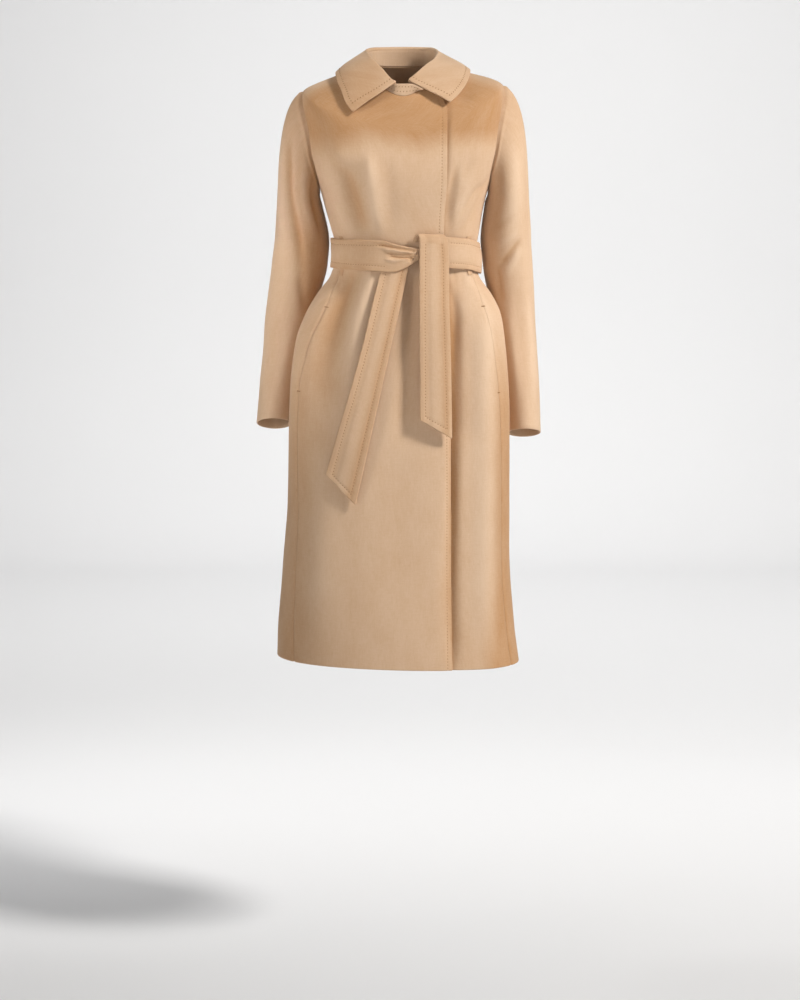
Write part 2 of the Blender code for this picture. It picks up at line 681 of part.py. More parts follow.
def collar_shares():
    """Places along the collar, from one point (-1) round the neck to the other (1)."""
    return [-1.0 + 2.0 * c / COLLAR_COLUMNS_ACROSS for c in range(COLLAR_COLUMNS_ACROSS + 1)]


def collar_stand():
    """Band that stands up from the neckline, its ends overlapping at the front."""
    shared = [COLLAR_TURN * share for share in collar_shares()]
    turns = [STAND_START, -192.0, -182.0] + shared + [STAND_END]
    grid = np.zeros((STAND_ROWS + 1, len(turns), 3))
    for c, turn in enumerate(turns):
        foot = section_point(180.0 - turn, NECK_LEVEL)
        foot[2] += SEAM_GAP * 2.0
        top = stand_top(turn)
        outward = stand_outward(turn)
        for r in range(STAND_ROWS + 1):
            share = 1.0 - r / STAND_ROWS
            grid[r, c] = foot + (top - foot) * share - outward * stand_lap(turn)
    return wall("collar_stand", grid, WALL, inward=-1.0)


def smooth_path(points, halvings):
    """Curve through the points; halvings says where a point is added between two."""
    padded = [2.0 * points[0] - points[1]] + list(points) + [2.0 * points[-1] - points[-2]]
    path = []
    for i, halved in enumerate(halvings):
        p0, p1, p2, p3 = padded[i:i + 4]
        path.append(p1)
        if halved:
            path.append((9.0 * (p1 + p2) - p0 - p3) / 16.0)
    path.append(points[-1])
    return path


def collar():
    """Pointed turn-down collar, from the roll over the stand to its outer edge."""
    lines = []
    for share in collar_shares():
        turn = COLLAR_TURN * share
        top = stand_top(turn)
        outward = stand_outward(turn)
        along = stand_top(turn + SLOPE_STEP_DEG) - stand_top(turn - SLOPE_STEP_DEG)
        steepness = np.linalg.norm(along) / np.linalg.norm(along[:2])
        up = np.array((0.0, 0.0, COLLAR_ROLL_RISE * steepness))
        top -= outward * stand_lap(turn)
        deg = 180.0 - COLLAR_TABLE.read("turn", share)
        level = COLLAR_TABLE.read("level", share)
        end = torso_point(deg, level, COLLAR_TABLE.read("lift", share) + COLLAR_WALL)
        normal = section_normal(deg, level)
        path = [top + outward * out + up * rise for out, rise in COLLAR_ROLL]
        path += [top + (end - top) * part + normal * swell for part, swell in COLLAR_FALL]
        path.append(end)
        lines.append(smooth_path(path, (0, 0, 0, 1, 1, 1)))
    grid = np.array(lines).transpose(1, 0, 2)
    return wall("collar", grid, COLLAR_WALL, inward=-1.0)


# ---------------------------------------------------------------- belt
def belt_point(turn, height, off):
    """Point over the coat at a turn from the centre front towards the wearer's right."""
    return torso_point(-turn, height, off)


def belt():
    """Waist belt, wound once round the coat, gathered towards the knot."""
    plain_start, plain_end = BELT_PLAIN_START, BELT[-1][0]
    plain = [plain_start + (plain_end - plain_start) * i / BELT_COLUMNS_ROUND
             for i in range(BELT_COLUMNS_ROUND + 1)]
    turns = list(BELT_GATHER_TURNS) + plain
    rows = BELT_ROWS
    grid = np.zeros((rows + 1, len(turns), 3))
    for c, turn in enumerate(turns):
        centre = BELT_TABLE.read("centre_z", turn)
        half = BELT_TABLE.read("half_width", turn)
        off = BELT_TABLE.read("off", turn) + BELT_WALL
        for r in range(rows + 1):
            height = centre - half + 2.0 * half * r / rows
            grid[r, c] = belt_point(turn, height, off)
    return wall("belt", grid, BELT_WALL, BELT_COLOUR)


def coat_front(x, height, off):
    """Point in front of the coat at an x and a height, moved out by off."""
    deg = angle_at(x, height)
    return torso_point(deg, height, off)


def belt_knot():
    """Rounded, pleated knot that the belt's two ends run into."""
    centre_x, centre_z = KNOT_CENTRE
    columns, rows = KNOT_COLUMNS, KNOT_ROWS
    base = coat_front(centre_x, centre_z, 0.0)
    normal = section_normal(angle_at(centre_x, centre_z), centre_z)
    across = np.cross((0.0, 0.0, 1.0), normal)
    across /= np.linalg.norm(across)
    up = np.cross(normal, across)
    middle = base + normal * (KNOT_OFF + 0.5 * KNOT_DEPTH)
    points = [middle - up * KNOT_HALF_HEIGHT]
    for r in range(1, rows):
        lift = -math.cos(math.pi * r / rows)
        ring = math.sqrt(1.0 - lift * lift) ** KNOT_END_POWER
        height = math.copysign(abs(lift) ** KNOT_HEIGHT_POWER, lift) * KNOT_HALF_HEIGHT
        pleat = 1.0 + KNOT_PLEAT_DEPTH / (0.5 * KNOT_DEPTH) * math.cos(
            KNOT_PLEATS * 2.0 * math.pi * r / rows)
        for c in range(columns):
            angle = 2.0 * math.pi * c / columns
            flat = math.copysign(abs(math.cos(angle)) ** KNOT_WIDTH_POWER, math.cos(angle))
            deep = math.copysign(abs(math.sin(angle)) ** KNOT_DEPTH_POWER, math.sin(angle))
            points.append(middle + up * height + across * flat * ring * KNOT_HALF_WIDTH
                          - normal * deep * ring * 0.5 * KNOT_DEPTH * pleat)
    points.append(middle + up * KNOT_HALF_HEIGHT)
    faces = []
    for c in range(columns):
        after = (c + 1) % columns
        faces.append((0, 1 + after, 1 + c))
        for r in range(rows - 2):
            a = 1 + r * columns
            faces.append((a + c, a + after, a + columns + after, a + columns + c))
        a = 1 + (rows - 2) * columns
        faces.append((a + c, a + after, len(points) - 1))
    return add_object("belt_knot", points, faces, BELT_COLOUR)


def tie_end(name, rows_table, slant, folded_over):
    """Hanging belt end with a slanted foot; one of them starts folded over the knot."""
    table = Table(TIE_COLUMNS, rows_table)
    last = rows_table[-1][0]
    columns = TIE_COLUMNS_ACROSS
    grid = []
    if folded_over:
        x, z = rows_table[0][1], rows_table[0][2]
        half, off = rows_table[0][3], rows_table[0][4] + BELT_WALL
        for degrees in FOLD_OVER_DEGREES:
            angle = math.radians(degrees)
            rise = FOLD_OVER_RISE * math.sin(angle)
            back = off - FOLD_OVER_BACK * 0.5 * (1.0 - math.cos(angle))
            line = []
            for c in range(columns + 1):
                across = x - half + 2.0 * half * c / columns
                point = coat_front(across, z, 0.0)
                normal = section_normal(angle_at(x, z), z)
                line.append(point + normal * back + np.array((0.0, 0.0, rise)))
            grid.append(line)
    for i in range(TIE_ROWS + 1):
        step = last * i / TIE_ROWS
        x = table.read("x", step)
        z = table.read("z", step)
        half = table.read("half_width", step)
        off = table.read("off", step) + BELT_WALL
        share = i / TIE_ROWS
        line = []
        for c in range(columns + 1):
            across = -1.0 + 2.0 * c / columns
            lean = smooth_step((share - TIE_SLANT_START) / (1.0 - TIE_SLANT_START))
            height = z - 0.5 * slant * across * lean
            line.append(coat_front(x + half * across, height, off))
        grid.append(line)
    return wall(name, np.array(grid), BELT_WALL, BELT_COLOUR)


def belt_loop(name, deg):
    """Thin carrier that lies on the coat, under the belt."""
    grid = np.zeros((len(LOOP_LEVELS), 2, 3))
    for r, level in enumerate(LOOP_LEVELS):
        half = degree_gap(deg, level, 0.5 * LOOP_WIDTH)
        for c, edge in enumerate((deg - half, deg + half)):
            grid[r, c] = torso_point(edge, level, LOOP_WALL + LOOP_OFF)
    return wall(name, grid, LOOP_WALL, BELT_COLOUR, inward=-1.0)


def main():
    """Build every piece of the coat."""
    for old in list(bpy.data.objects):
        bpy.data.objects.remove(old, do_unlink=True)
    body_panels()
    sleeve("sleeve_right", SLEEVE_RIGHT, -1.0)
    sleeve("sleeve_left", SLEEVE_LEFT, 1.0)
    collar_stand()
    collar()
    belt()
    belt_knot()
    tie_end("belt_end_front", TIE_FRONT, TIE_FRONT_SLANT, True)
    tie_end("belt_end_side", TIE_SIDE, TIE_SIDE_SLANT, False)
    belt_loop("belt_loop_right", LOOP_RIGHT_DEG)
    belt_loop("belt_loop_left", LOOP_LEFT_DEG)


main()
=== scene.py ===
"""Looks of a belted wrap coat in brushed camel wool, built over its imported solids.

Metres, +Z up. The front faces -Y and the wearer's right lies towards -X.
The origin is midway between the shoulders, at the height of the neck points.
"Level" is the height of a torso section where it crosses the side of the body.
Angles run round the body from the centre front (0) over +X (90) to the back (180).
"""
import logging
import math
from dataclasses import dataclass, field
from enum import Enum
from typing import Any, Callable, Optional, Sequence, Union

import bmesh
import bpy
import numpy as np
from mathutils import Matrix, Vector


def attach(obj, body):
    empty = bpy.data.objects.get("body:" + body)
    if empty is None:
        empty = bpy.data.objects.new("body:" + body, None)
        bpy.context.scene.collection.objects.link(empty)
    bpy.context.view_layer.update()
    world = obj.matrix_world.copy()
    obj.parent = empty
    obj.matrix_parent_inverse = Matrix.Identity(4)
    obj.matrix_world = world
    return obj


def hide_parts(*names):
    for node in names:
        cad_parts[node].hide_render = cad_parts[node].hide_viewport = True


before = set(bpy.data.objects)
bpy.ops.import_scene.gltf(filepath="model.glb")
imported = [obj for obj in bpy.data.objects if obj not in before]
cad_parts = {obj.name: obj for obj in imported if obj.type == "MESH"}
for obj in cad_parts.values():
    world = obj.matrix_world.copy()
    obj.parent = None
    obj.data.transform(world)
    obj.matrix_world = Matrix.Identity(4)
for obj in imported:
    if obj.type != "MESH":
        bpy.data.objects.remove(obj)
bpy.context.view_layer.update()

BODY = "root"
LOG = logging.getLogger("coat")

Array = np.ndarray
Colour = tuple[float, float, float]
Place = tuple[float, float, float]
Ramp = tuple[int, float, float]
X, Y, Z = 0, 1, 2

# ---------------------------------------------------------------- driving dimensions
SEAM_GAP = 0.0003
WALL = 0.0028
SLEEVE_WALL = 0.0026
COLLAR_WALL = 0.0030
BELT_WALL = 0.0034
LAP_GAP = 0.0014

NECK_LEVEL = 0.005
HEM_LEVEL = -1.060
SKIRT_TOP = -0.36
HEM_DROP_TO_LEFT = 0.006
LEFT_SHOULDER_RISE = 0.0085
RIGHT_SHOULDER_DROP = 0.0020
SHOULDER_INNER = 0.070
SHOULDER_SPAN = 0.105
SHOULDER_TILT_FOOT = -0.24
SHOULDER_TILT_SPAN = 0.14

ARMHOLE_TOP = -0.040
ARMHOLE_FOOT = -0.214
ARMHOLE_MIDDLE = 0.5 * (ARMHOLE_TOP + ARMHOLE_FOOT)
ARMHOLE_HALF = 0.5 * (ARMHOLE_TOP - ARMHOLE_FOOT)
ARMHOLE_FRONT_DEG = 25.0
ARMHOLE_BACK_DEG = 30.0

STITCH_INSET = 0.0080
STITCH_PITCH = 0.0054

# Sections of the torso, neckline to hem.
TORSO_COLUMNS = ("level", "front_z", "back_z", "half_width", "front", "back",
                 "centre_x", "centre_y", "square")
TORSO = (
    # level, front_z, back_z, half_width, front, back, centre_x, centre_y, square
    (0.005, -0.056, 0.004, 0.068, 0.096, 0.066, 0.000, 0.002, 0.00),     # neckline
    (-0.006, -0.068, -0.012, 0.094, 0.100, 0.080, 0.000, 0.002, 0.02),   # collar seat
    (-0.017, -0.085, -0.030, 0.124, 0.104, 0.090, 0.000, 0.002, 0.04),   # mid shoulder
    (-0.028, -0.097, -0.045, 0.154, 0.1075, 0.095, 0.000, 0.002, 0.055),  # outer shoulder
    (-0.036, -0.106, -0.057, 0.171, 0.110, 0.0985, 0.000, 0.002, 0.07),  # shoulder tip
    (-0.044, -0.113, -0.066, 0.1785, 0.112, 0.1005, 0.000, 0.002, 0.08),  # sleeve head
    (-0.060, -0.124, -0.083, 0.1800, 0.1145, 0.104, 0.000, 0.002, 0.085),  # chest top
    (-0.100, -0.145, -0.115, 0.1765, 0.117, 0.106, 0.001, 0.001, 0.085),  # upper chest
    (-0.145, -0.170, -0.155, 0.1715, 0.120, 0.106, 0.001, 0.000, 0.08),  # mid chest
    (-0.178, -0.190, -0.182, 0.1620, 0.121, 0.104, 0.001, 0.000, 0.07),  # bust
    (-0.214, -0.214, -0.214, 0.1500, 0.119, 0.100, 0.002, 0.000, 0.06),  # armhole foot
    (-0.241, -0.241, -0.241, 0.1425, 0.114, 0.095, 0.002, 0.000, 0.05),  # under bust
    (-0.280, -0.280, -0.280, 0.1335, 0.105, 0.088, 0.004, -0.001, 0.04),  # above belt
    (-0.330, -0.330, -0.330, 0.1245, 0.098, 0.083, 0.0060, -0.002, 0.04),  # waist
    (-0.366, -0.366, -0.366, 0.1320, 0.098, 0.090, 0.003, -0.004, 0.04),  # below belt
    (-0.400, -0.400, -0.400, 0.1555, 0.098, 0.104, 0.002, -0.008, 0.03),  # hip top
    (-0.434, -0.434, -0.434, 0.1735, 0.098, 0.117, 0.000, -0.013, 0.03),  # hip
    (-0.480, -0.480, -0.480, 0.1860, 0.098, 0.128, -0.005, -0.016, 0.03),  # low hip
    (-0.560, -0.560, -0.560, 0.1950, 0.102, 0.136, -0.007, -0.017, 0.03),  # pocket foot
    (-0.640, -0.640, -0.640, 0.1985, 0.106, 0.140, -0.007, -0.016, 0.03),  # thigh
    (-0.774, -0.774, -0.774, 0.2005, 0.112, 0.145, -0.008, -0.014, 0.03),  # upper skirt
    (-0.900, -0.900, -0.900, 0.2065, 0.118, 0.152, -0.012, -0.012, 0.03),  # mid skirt
    (-0.992, -0.992, -0.992, 0.2145, 0.122, 0.157, -0.012, -0.011, 0.03),  # low skirt
    (-1.060, -1.060, -1.060, 0.2205, 0.125, 0.160, -0.009, -0.010, 0.03),  # hem
)

SIDE_SEAM = (
    # level, angle ahead of the side line on the wearer's right, and on the left
    (-0.214, 90.0, 90.0),
    (-0.262, 82.0, 82.0),
    (-0.300, 75.0, 75.0),
    (-0.358, 64.5, 64.5),
    (-0.420, 53.5, 54.0),
    (-0.500, 58.5, 58.5),
    (-0.572, 63.5, 62.5),
    (-0.656, 64.0, 64.0),
    (-0.830, 60.0, 64.5),
    (-1.060, 56.0, 66.0),
)

FRONT_EDGE = (
    # level, reach past the centre line
    (0.005, 0.0460),
    (-0.004, 0.0590),
    (-0.014, 0.0690),
    (-0.026, 0.0755),
    (-0.195, 0.0756),
    (-0.290, 0.0711),
    (-0.360, 0.0750),
    (-0.650, 0.0854),
    (-1.060, 0.0881),
)

STAND_TOP = (
    # turn from the centre back, x, y, z of the stand's upper edge
    (-202.0, 0.0330, -0.0955, -0.0460),
    (-190.0, 0.0130, -0.0975, -0.0370),
    (-173.0, -0.0130, -0.0955, -0.0365),
    (-150.0, -0.0385, -0.0720, -0.0130),
    (-120.0, -0.0590, -0.0380, 0.0100),
    (-90.0, -0.0645, -0.0020, 0.0220),
    (-50.0, -0.0490, 0.0450, 0.0300),
    (0.0, 0.0000, 0.0650, 0.0320),
    (50.0, 0.0480, 0.0450, 0.0300),
    (90.0, 0.0615, -0.0020, 0.0190),
    (120.0, 0.0560, -0.0360, 0.0065),
    (150.0, 0.0360, -0.0660, -0.0135),
    (172.0, 0.0120, -0.0870, -0.0330),
    (186.0, -0.0040, -0.0905, -0.0400),
)

COLLAR_EDGE = (
    # share of the way round, turn, level and lift of the collar's outer edge
    (-1.00, -150.5, -0.0330, 0.0060),
    (-0.86, -130.0, -0.0200, 0.0070),
    (-0.70, -108.0, -0.0155, 0.0050),
    (-0.55, -88.0, -0.0140, 0.0040),
    (-0.30, -45.0, -0.0170, 0.0040),
    (0.00, 0.0, -0.0240, 0.0040),
    (0.30, 45.0, -0.0170, 0.0040),
    (0.55, 88.0, -0.0140, 0.0040),
    (0.70, 108.0, -0.0155, 0.0050),
    (0.86, 129.0, -0.0190, 0.0080),
    (1.00, 147.0, -0.0230, 0.0100),
)

SLEEVE_SECTION = ("height", "x", "y", "half_x", "half_y", "rise")
SLEEVE_RIGHT = (
    # height, x, y, half_x, half_y, rise
    (-0.240, -0.1870, 0.013, 0.0385, 0.059, 0.000),
    (-0.300, -0.1835, 0.030, 0.0470, 0.056, 0.000),
    (-0.350, -0.1870, 0.044, 0.0505, 0.054, 0.001),
    (-0.400, -0.1975, 0.058, 0.0475, 0.052, 0.003),
    (-0.450, -0.2085, 0.068, 0.0425, 0.050, 0.005),
    (-0.510, -0.2175, 0.074, 0.0380, 0.049, 0.008),
    (-0.570, -0.2275, 0.074, 0.0350, 0.048, 0.011),
    (-0.640, -0.2365, 0.070, 0.0325, 0.047, 0.014),
)
SLEEVE_LEFT = (
    # height, x, y, half_x, half_y, rise
    (-0.240, 0.1875, 0.013, 0.0385, 0.059, 0.000),
    (-0.300, 0.1865, 0.029, 0.0440, 0.056, 0.000),
    (-0.350, 0.1895, 0.043, 0.0450, 0.054, 0.001),
    (-0.400, 0.1960, 0.057, 0.0425, 0.052, 0.003),
    (-0.450, 0.2015, 0.068, 0.0400, 0.050, 0.005),
    (-0.510, 0.2085, 0.074, 0.0375, 0.049, 0.007),
    (-0.580, 0.2165, 0.073, 0.0340, 0.048, 0.010),
    (-0.657, 0.2225, 0.069, 0.0308, 0.047, 0.012),
)

BELT = (
    # turn, centre_z, half_width, off
    (-9.2, -0.3275, 0.0095, 0.0110),
    (-2.0, -0.3325, 0.0160, 0.0102),
    (6.0, -0.3350, 0.0225, 0.0092),
    (18.0, -0.3315, 0.0265, 0.0075),
    (36.0, -0.3300, 0.0262, 0.0048),
    (60.0, -0.3285, 0.0262, 0.0044),
    (90.0, -0.3275, 0.0262, 0.0030),
    (180.0, -0.3330, 0.0262, 0.0028),
    (262.0, -0.3385, 0.0262, 0.0028),
    (290.0, -0.3345, 0.0262, 0.0030),
    (310.0, -0.3285, 0.0262, 0.0042),
    (329.0, -0.3253, 0.0262, 0.0067),
)

TIE_COLUMNS = ("step", "x", "z", "half_width", "off")
TIE_FRONT = (
    # step, x, z, half_width, off
    (0.0, 0.0490, -0.3080, 0.0205, 0.0176),
    (1.0, 0.0490, -0.3320, 0.0212, 0.0205),
    (2.0, 0.0500, -0.3800, 0.0222, 0.0210),
    (3.0, 0.0520, -0.4600, 0.0238, 0.0200),
    (4.0, 0.0540, -0.5500, 0.0250, 0.0182),
    (5.0, 0.0555, -0.6310, 0.0262, 0.0165),
)
TIE_SIDE = (
    # step, x, z, half_width, off
    (0.0, -0.0110, -0.3420, 0.0215, 0.0026),
    (1.0, -0.0160, -0.3640, 0.0218, 0.0040),
    (2.0, -0.0345, -0.4450, 0.0224, 0.0090),
    (3.0, -0.0595, -0.5500, 0.0230, 0.0105),
    (4.0, -0.0860, -0.6560, 0.0236, 0.0085),
    (5.0, -0.1070, -0.7410, 0.0238, 0.0065),
)


# ---------------------------------------------------------------- curves
def hermite(first: Any, last: Any, leave: Any, arrive: Any, t: Any) -> Array:
    """Cubic from one value to another.

    Args:
        first: where it starts.
        last: where it ends.
        leave: its rate at the start.
        arrive: its rate at the end.
        t: share of the way, 0 to 1.

    Returns:
        The values at t.
    """
    return (first * (2 * t ** 3 - 3 * t ** 2 + 1) + last * (3 * t ** 2 - 2 * t ** 3)
            + leave * (t ** 3 - 2 * t ** 2 + t) + arrive * (t ** 3 - t ** 2))


class Table:
    """A short table of named columns, read between its rows by a smooth curve."""

    def __init__(self, names: Sequence[str], rows: Sequence[Sequence[float]]) -> None:
        """Sort the rows by their first column and find the curve's slopes.

        Args:
            names: one name for each column, the key first.
            rows: the table's rows.
        """
        data = np.array(sorted(rows), dtype=float)
        self.key = data[:, 0]
        self.columns = {name: data[:, i] for i, name in enumerate(names)}
        self.slopes = {name: self._slopes(ys) for name, ys in self.columns.items()}

    def _slopes(self, ys: Array) -> Array:
        """Slopes that let no curve overshoot its rows.

        Args:
            ys: one column.

        Returns:
            The slope at each row.
        """
        step = np.diff(self.key)
        rate = np.diff(ys) / step
        before, after = rate[:-1], rate[1:]
        w_before = 2.0 * step[1:] + step[:-1]
        w_after = step[1:] + 2.0 * step[:-1]
        same = before * after > 0.0
        safe_before = np.where(same, before, 1.0)
        safe_after = np.where(same, after, 1.0)
        mean = (w_before + w_after) / (w_before / safe_before + w_after / safe_after)
        return np.concatenate((rate[:1], np.where(same, mean, 0.0), rate[-1:]))

    def read(self, name: str, key: Union[float, Array]) -> Array:
        """Smooth values of a column.

        Args:
            name: the column.
            key: where to read it.

        Returns:
            The values, in the key's shape.
        """
        xs, ys, slope = self.key, self.columns[name], self.slopes[name]
        key = np.clip(key, xs[0], xs[-1])
        i = np.clip(np.searchsorted(xs, key) - 1, 0, len(xs) - 2)
        span = xs[i + 1] - xs[i]
        return hermite(ys[i], ys[i + 1], span * slope[i], span * slope[i + 1],
                       (key - xs[i]) / span)


def smooth_step(value: Union[float, Array]) -> Array:
    """0 below 0, 1 above 1, with level ends."""
    t = np.clip(value, 0.0, 1.0)
    return t * t * (3.0 - 2.0 * t)


def ramp(value: Array, start: float, full: float) -> Array:
    """0 up to the start and 1 from full on, with level ends."""
    return smooth_step((value - start) / (full - start))


def bell(distance: Union[float, Array], half: Union[float, Array]) -> Array:
    """Soft bump, 1 in the middle and 0.37 at half."""
    return np.exp(-(distance / half) ** 2)


@dataclass(frozen=True)
class Swell:
    """Soft rise along a line: its height, the place of its middle and its half width."""

    height: float
    middle: float
    half: float

    def at(self, place: Array) -> Array:
        """Height at some places of the line."""
        return self.height * bell(place - self.middle, self.half)


# ---------------------------------------------------------------- folds and creases
@dataclass(frozen=True)
class Fold:
    """Soft crest or trough round the torso, from one place down to another."""

    top_deg: float
    top_level: float
    foot_deg: float
    foot_level: float
    half_deg: float
    height: float

    OVERRUN = 0.12
    FADE_IN = 0.30
    FADE_OUT = 0.35
    START_WIDTH = 0.85
    WIDENING = 0.40

    def rise(self, deg: Array, level: Array) -> Array:
        """How far the fold stands out.

        Args:
            deg: angles round the body.
            level: levels.

        Returns:
            Metres outward, negative for a trough.
        """
        share = (level - self.top_level) / (self.foot_level - self.top_level)
        along = np.clip(share, 0.0, 1.0)
        middle = self.top_deg + (self.foot_deg - self.top_deg) * along
        away = (deg - middle + 180.0) % 360.0 - 180.0
        fade = (smooth_step((share + self.OVERRUN) / self.FADE_IN)
                * smooth_step((1.0 + self.OVERRUN - share) / self.FADE_OUT))
        half = self.half_deg * (self.START_WIDTH + self.WIDENING * along)
        return self.height * fade * bell(away, half)


@dataclass(frozen=True)
class Crease:
    """Crease on a flat chart of a surface: a soft line that may bow, wider at its end.

    lean makes one flank steeper: above 0 the one to the right of its run.
    """

    start: tuple[float, float]
    end: tuple[float, float]
    half: float
    height: float
    bow: float = 0.0
    lean: float = 0.0
    widening: float = 0.4
    fade_in: float = 0.30
    fade_out: float = 0.35

    def rise(self, across: Array, up: Array) -> Array:
        """How far the crease stands out.

        Args:
            across: first coordinate of the chart.
            up: second coordinate of the chart.

        Returns:
            Metres outward, negative for a trough.
        """
        run = np.array(self.end) - np.array(self.start)
        length = float(np.linalg.norm(run))
        unit = run / length
        d_across, d_up = across - self.start[0], up - self.start[1]
        along = (d_across * unit[0] + d_up * unit[1]) / length
        inside = np.clip(along, 0.0, 1.0)
        away = d_across * unit[1] - d_up * unit[0]
        away = away - self.bow * 4.0 * inside * (1.0 - inside)
        half = self.half * (1.0 + self.widening * inside)
        half = half * np.where(away > 0.0, 1.0 - self.lean, 1.0 + self.lean)
        fade = smooth_step(along / self.fade_in) * smooth_step((1.0 - along) / self.fade_out)
        return self.height * fade * bell(away, half)


BODY_FOLDS = (
    Fold(-40.0, -0.150, -33.0, -0.300, 6.0, -0.0056),   # hollow beside the right bust
    Fold(-20.0, -0.130, -19.0, -0.300, 5.0, 0.0030),    # crest nearer the centre
    Fold(-52.0, -0.170, -55.0, -0.300, 6.0, 0.0025),    # crest by the right side
    Fold(40.0, -0.165, 34.0, -0.300, 3.6, -0.0040),     # pull beside the front edge
    Fold(68.0, -0.190, 44.0, -0.300, 4.5, -0.0025),     # pull from the left armhole
    Fold(-44.0, -0.362, -42.0, -0.590, 8.0, -0.0065),   # hollow over the right pocket
    Fold(-24.0, -0.368, -28.0, -0.700, 7.0, 0.0040),    # crest under the side tie end
    Fold(-66.0, -0.372, -72.0, -0.620, 7.0, 0.0020),    # crest behind the right pocket
    Fold(32.6, -0.372, 25.4, -1.040, 3.4, -0.0055),     # trough beside the front edge
    Fold(55.0, -0.380, 45.0, -1.060, 7.5, 0.0055),      # crest down the left skirt
    Fold(78.0, -0.380, 84.0, -0.640, 7.0, 0.0020),      # crest behind the left pocket
    Fold(118.0, -0.372, 112.0, -1.060, 9.0, 0.0060),    # back skirt, left flare
    Fold(140.0, -0.368, 138.0, -0.940, 6.5, -0.0060),   # back skirt, hollow
    Fold(158.0, -0.366, 155.0, -1.060, 8.0, 0.0065),    # back skirt, crest
    Fold(180.0, -0.366, 181.0, -0.820, 6.5, -0.0050),   # back skirt, centre hollow
    Fold(204.0, -0.366, 208.0, -1.060, 8.5, 0.0070),    # back skirt, crest
    Fold(224.0, -0.368, 228.0, -0.900, 6.0, -0.0055),   # back skirt, hollow
    Fold(245.0, -0.372, 250.0, -1.060, 9.0, 0.0060),    # back skirt, right flare
    Fold(150.0, -0.160, 157.0, -0.300, 6.0, -0.0035),   # back waist, pull
    Fold(207.0, -0.150, 202.0, -0.300, 5.5, -0.0040),   # back waist, pull
    Fold(180.0, -0.190, 179.0, -0.300, 5.0, 0.0030),    # back waist, crest
    Fold(128.0, -0.190, 146.0, -0.320, 3.2, -0.0020),   # back waist, finer pull
    Fold(232.0, -0.185, 216.0, -0.318, 3.0, -0.0022),   # back waist, finer pull
    Fold(168.0, -0.230, 172.0, -0.322, 2.4, -0.0016),   # back waist, short pucker
    Fold(192.0, -0.240, 188.0, -0.320, 2.2, -0.0015),   # back waist, short pucker
    Fold(126.0, -0.345, 130.0, -0.520, 3.0, -0.0020),   # under the belt at the back
    Fold(170.0, -0.345, 168.0, -0.480, 2.8, -0.0018),   # under the belt at the back
    Fold(214.0, -0.345, 217.0, -0.560, 3.0, -0.0022),   # under the belt at the back
    Fold(192.0, -0.345, 193.0, -0.450, 2.4, -0.0014),   # under the belt at the back
)

# Creases of the front, by x and height.
FRONT_CREASES = (
    Crease((-0.100, -0.160), (-0.070, -0.300), 0.0125, -0.0048, 0.004, 0.10),  # hollow
    Crease((-0.107, -0.140), (-0.112, -0.215), 0.0100, 0.0020),    # crest above it
    Crease((-0.060, -0.145), (-0.046, -0.300), 0.0085, 0.0040, 0.002, 0.20),   # crest
    Crease((-0.028, -0.150), (-0.020, -0.295), 0.0110, -0.0020),   # centre hollow
    Crease((0.0980, -0.168), (0.0730, -0.285), 0.0050, -0.0040, 0.003, 0.20),  # pull
    Crease((0.1120, -0.166), (0.0850, -0.295), 0.0085, 0.0055, 0.002, 0.35),   # its crest
    Crease((0.1480, -0.196), (0.0900, -0.290), 0.0050, -0.0030, 0.006),        # soft pull
    Crease((0.1400, -0.215), (0.1000, -0.296), 0.0060, 0.0018, 0.004),         # its crest
    Crease((0.1180, -0.255), (0.0990, -0.300), 0.0040, -0.0010),   # pucker at the belt
    Crease((-0.116, -0.250), (-0.108, -0.302), 0.0050, -0.0014),   # pucker at the belt
    Crease((-0.112, -0.352), (-0.124, -0.400), 0.0050, -0.0036, 0.0, 0.1, 0.9, 0.05, 0.6),
    Crease((-0.090, -0.350), (-0.134, -0.545), 0.0130, -0.0054, 0.006, 0.0, 0.9, 0.08, 0.5),
    Crease((-0.050, -0.350), (-0.096, -0.575), 0.0110, 0.0030, 0.004, 0.0, 0.8, 0.08, 0.5),
    Crease((-0.072, -0.350), (-0.094, -0.440), 0.0060, -0.0012, 0.0, 0.0, 0.9, 0.05, 0.6),
    Crease((0.0930, -0.350), (0.1000, -0.560), 0.0060, -0.0020, 0.0, 0.0, 0.6, 0.05, 0.6),
    Crease((0.1100, -0.350), (0.1220, -0.500), 0.0090, 0.0016, 0.0, 0.0, 0.8, 0.05, 0.6),
    Crease((0.1040, -0.352), (0.1060, -0.410), 0.0035, -0.0012, 0.0, 0.0, 0.9, 0.05, 0.7),
    Crease((0.0049, -0.096), (0.0049, -0.124), 0.0016, -0.0006),   # short upright crease
    Crease((-0.010, -0.620), (-0.006, -1.000), 0.0420, -0.0030),   # wide hollow, centre
    Crease((0.0120, -0.355), (0.0040, -0.700), 0.0150, -0.0044, 0.0, 0.0, 0.5, 0.1, 0.3),
    Crease((-0.135, -0.620), (-0.150, -1.040), 0.0260, 0.0030),    # wide crest, right
    Crease((0.0860, -0.400), (0.0915, -1.090), 0.0076, -0.0056, 0.0, 0.1, 0.3, 0.1, 0.1),
    Crease((0.1360, -0.420), (0.1500, -1.070), 0.0150, 0.0040, 0.0, 0.0, 0.3, 0.1, 0.3),
)

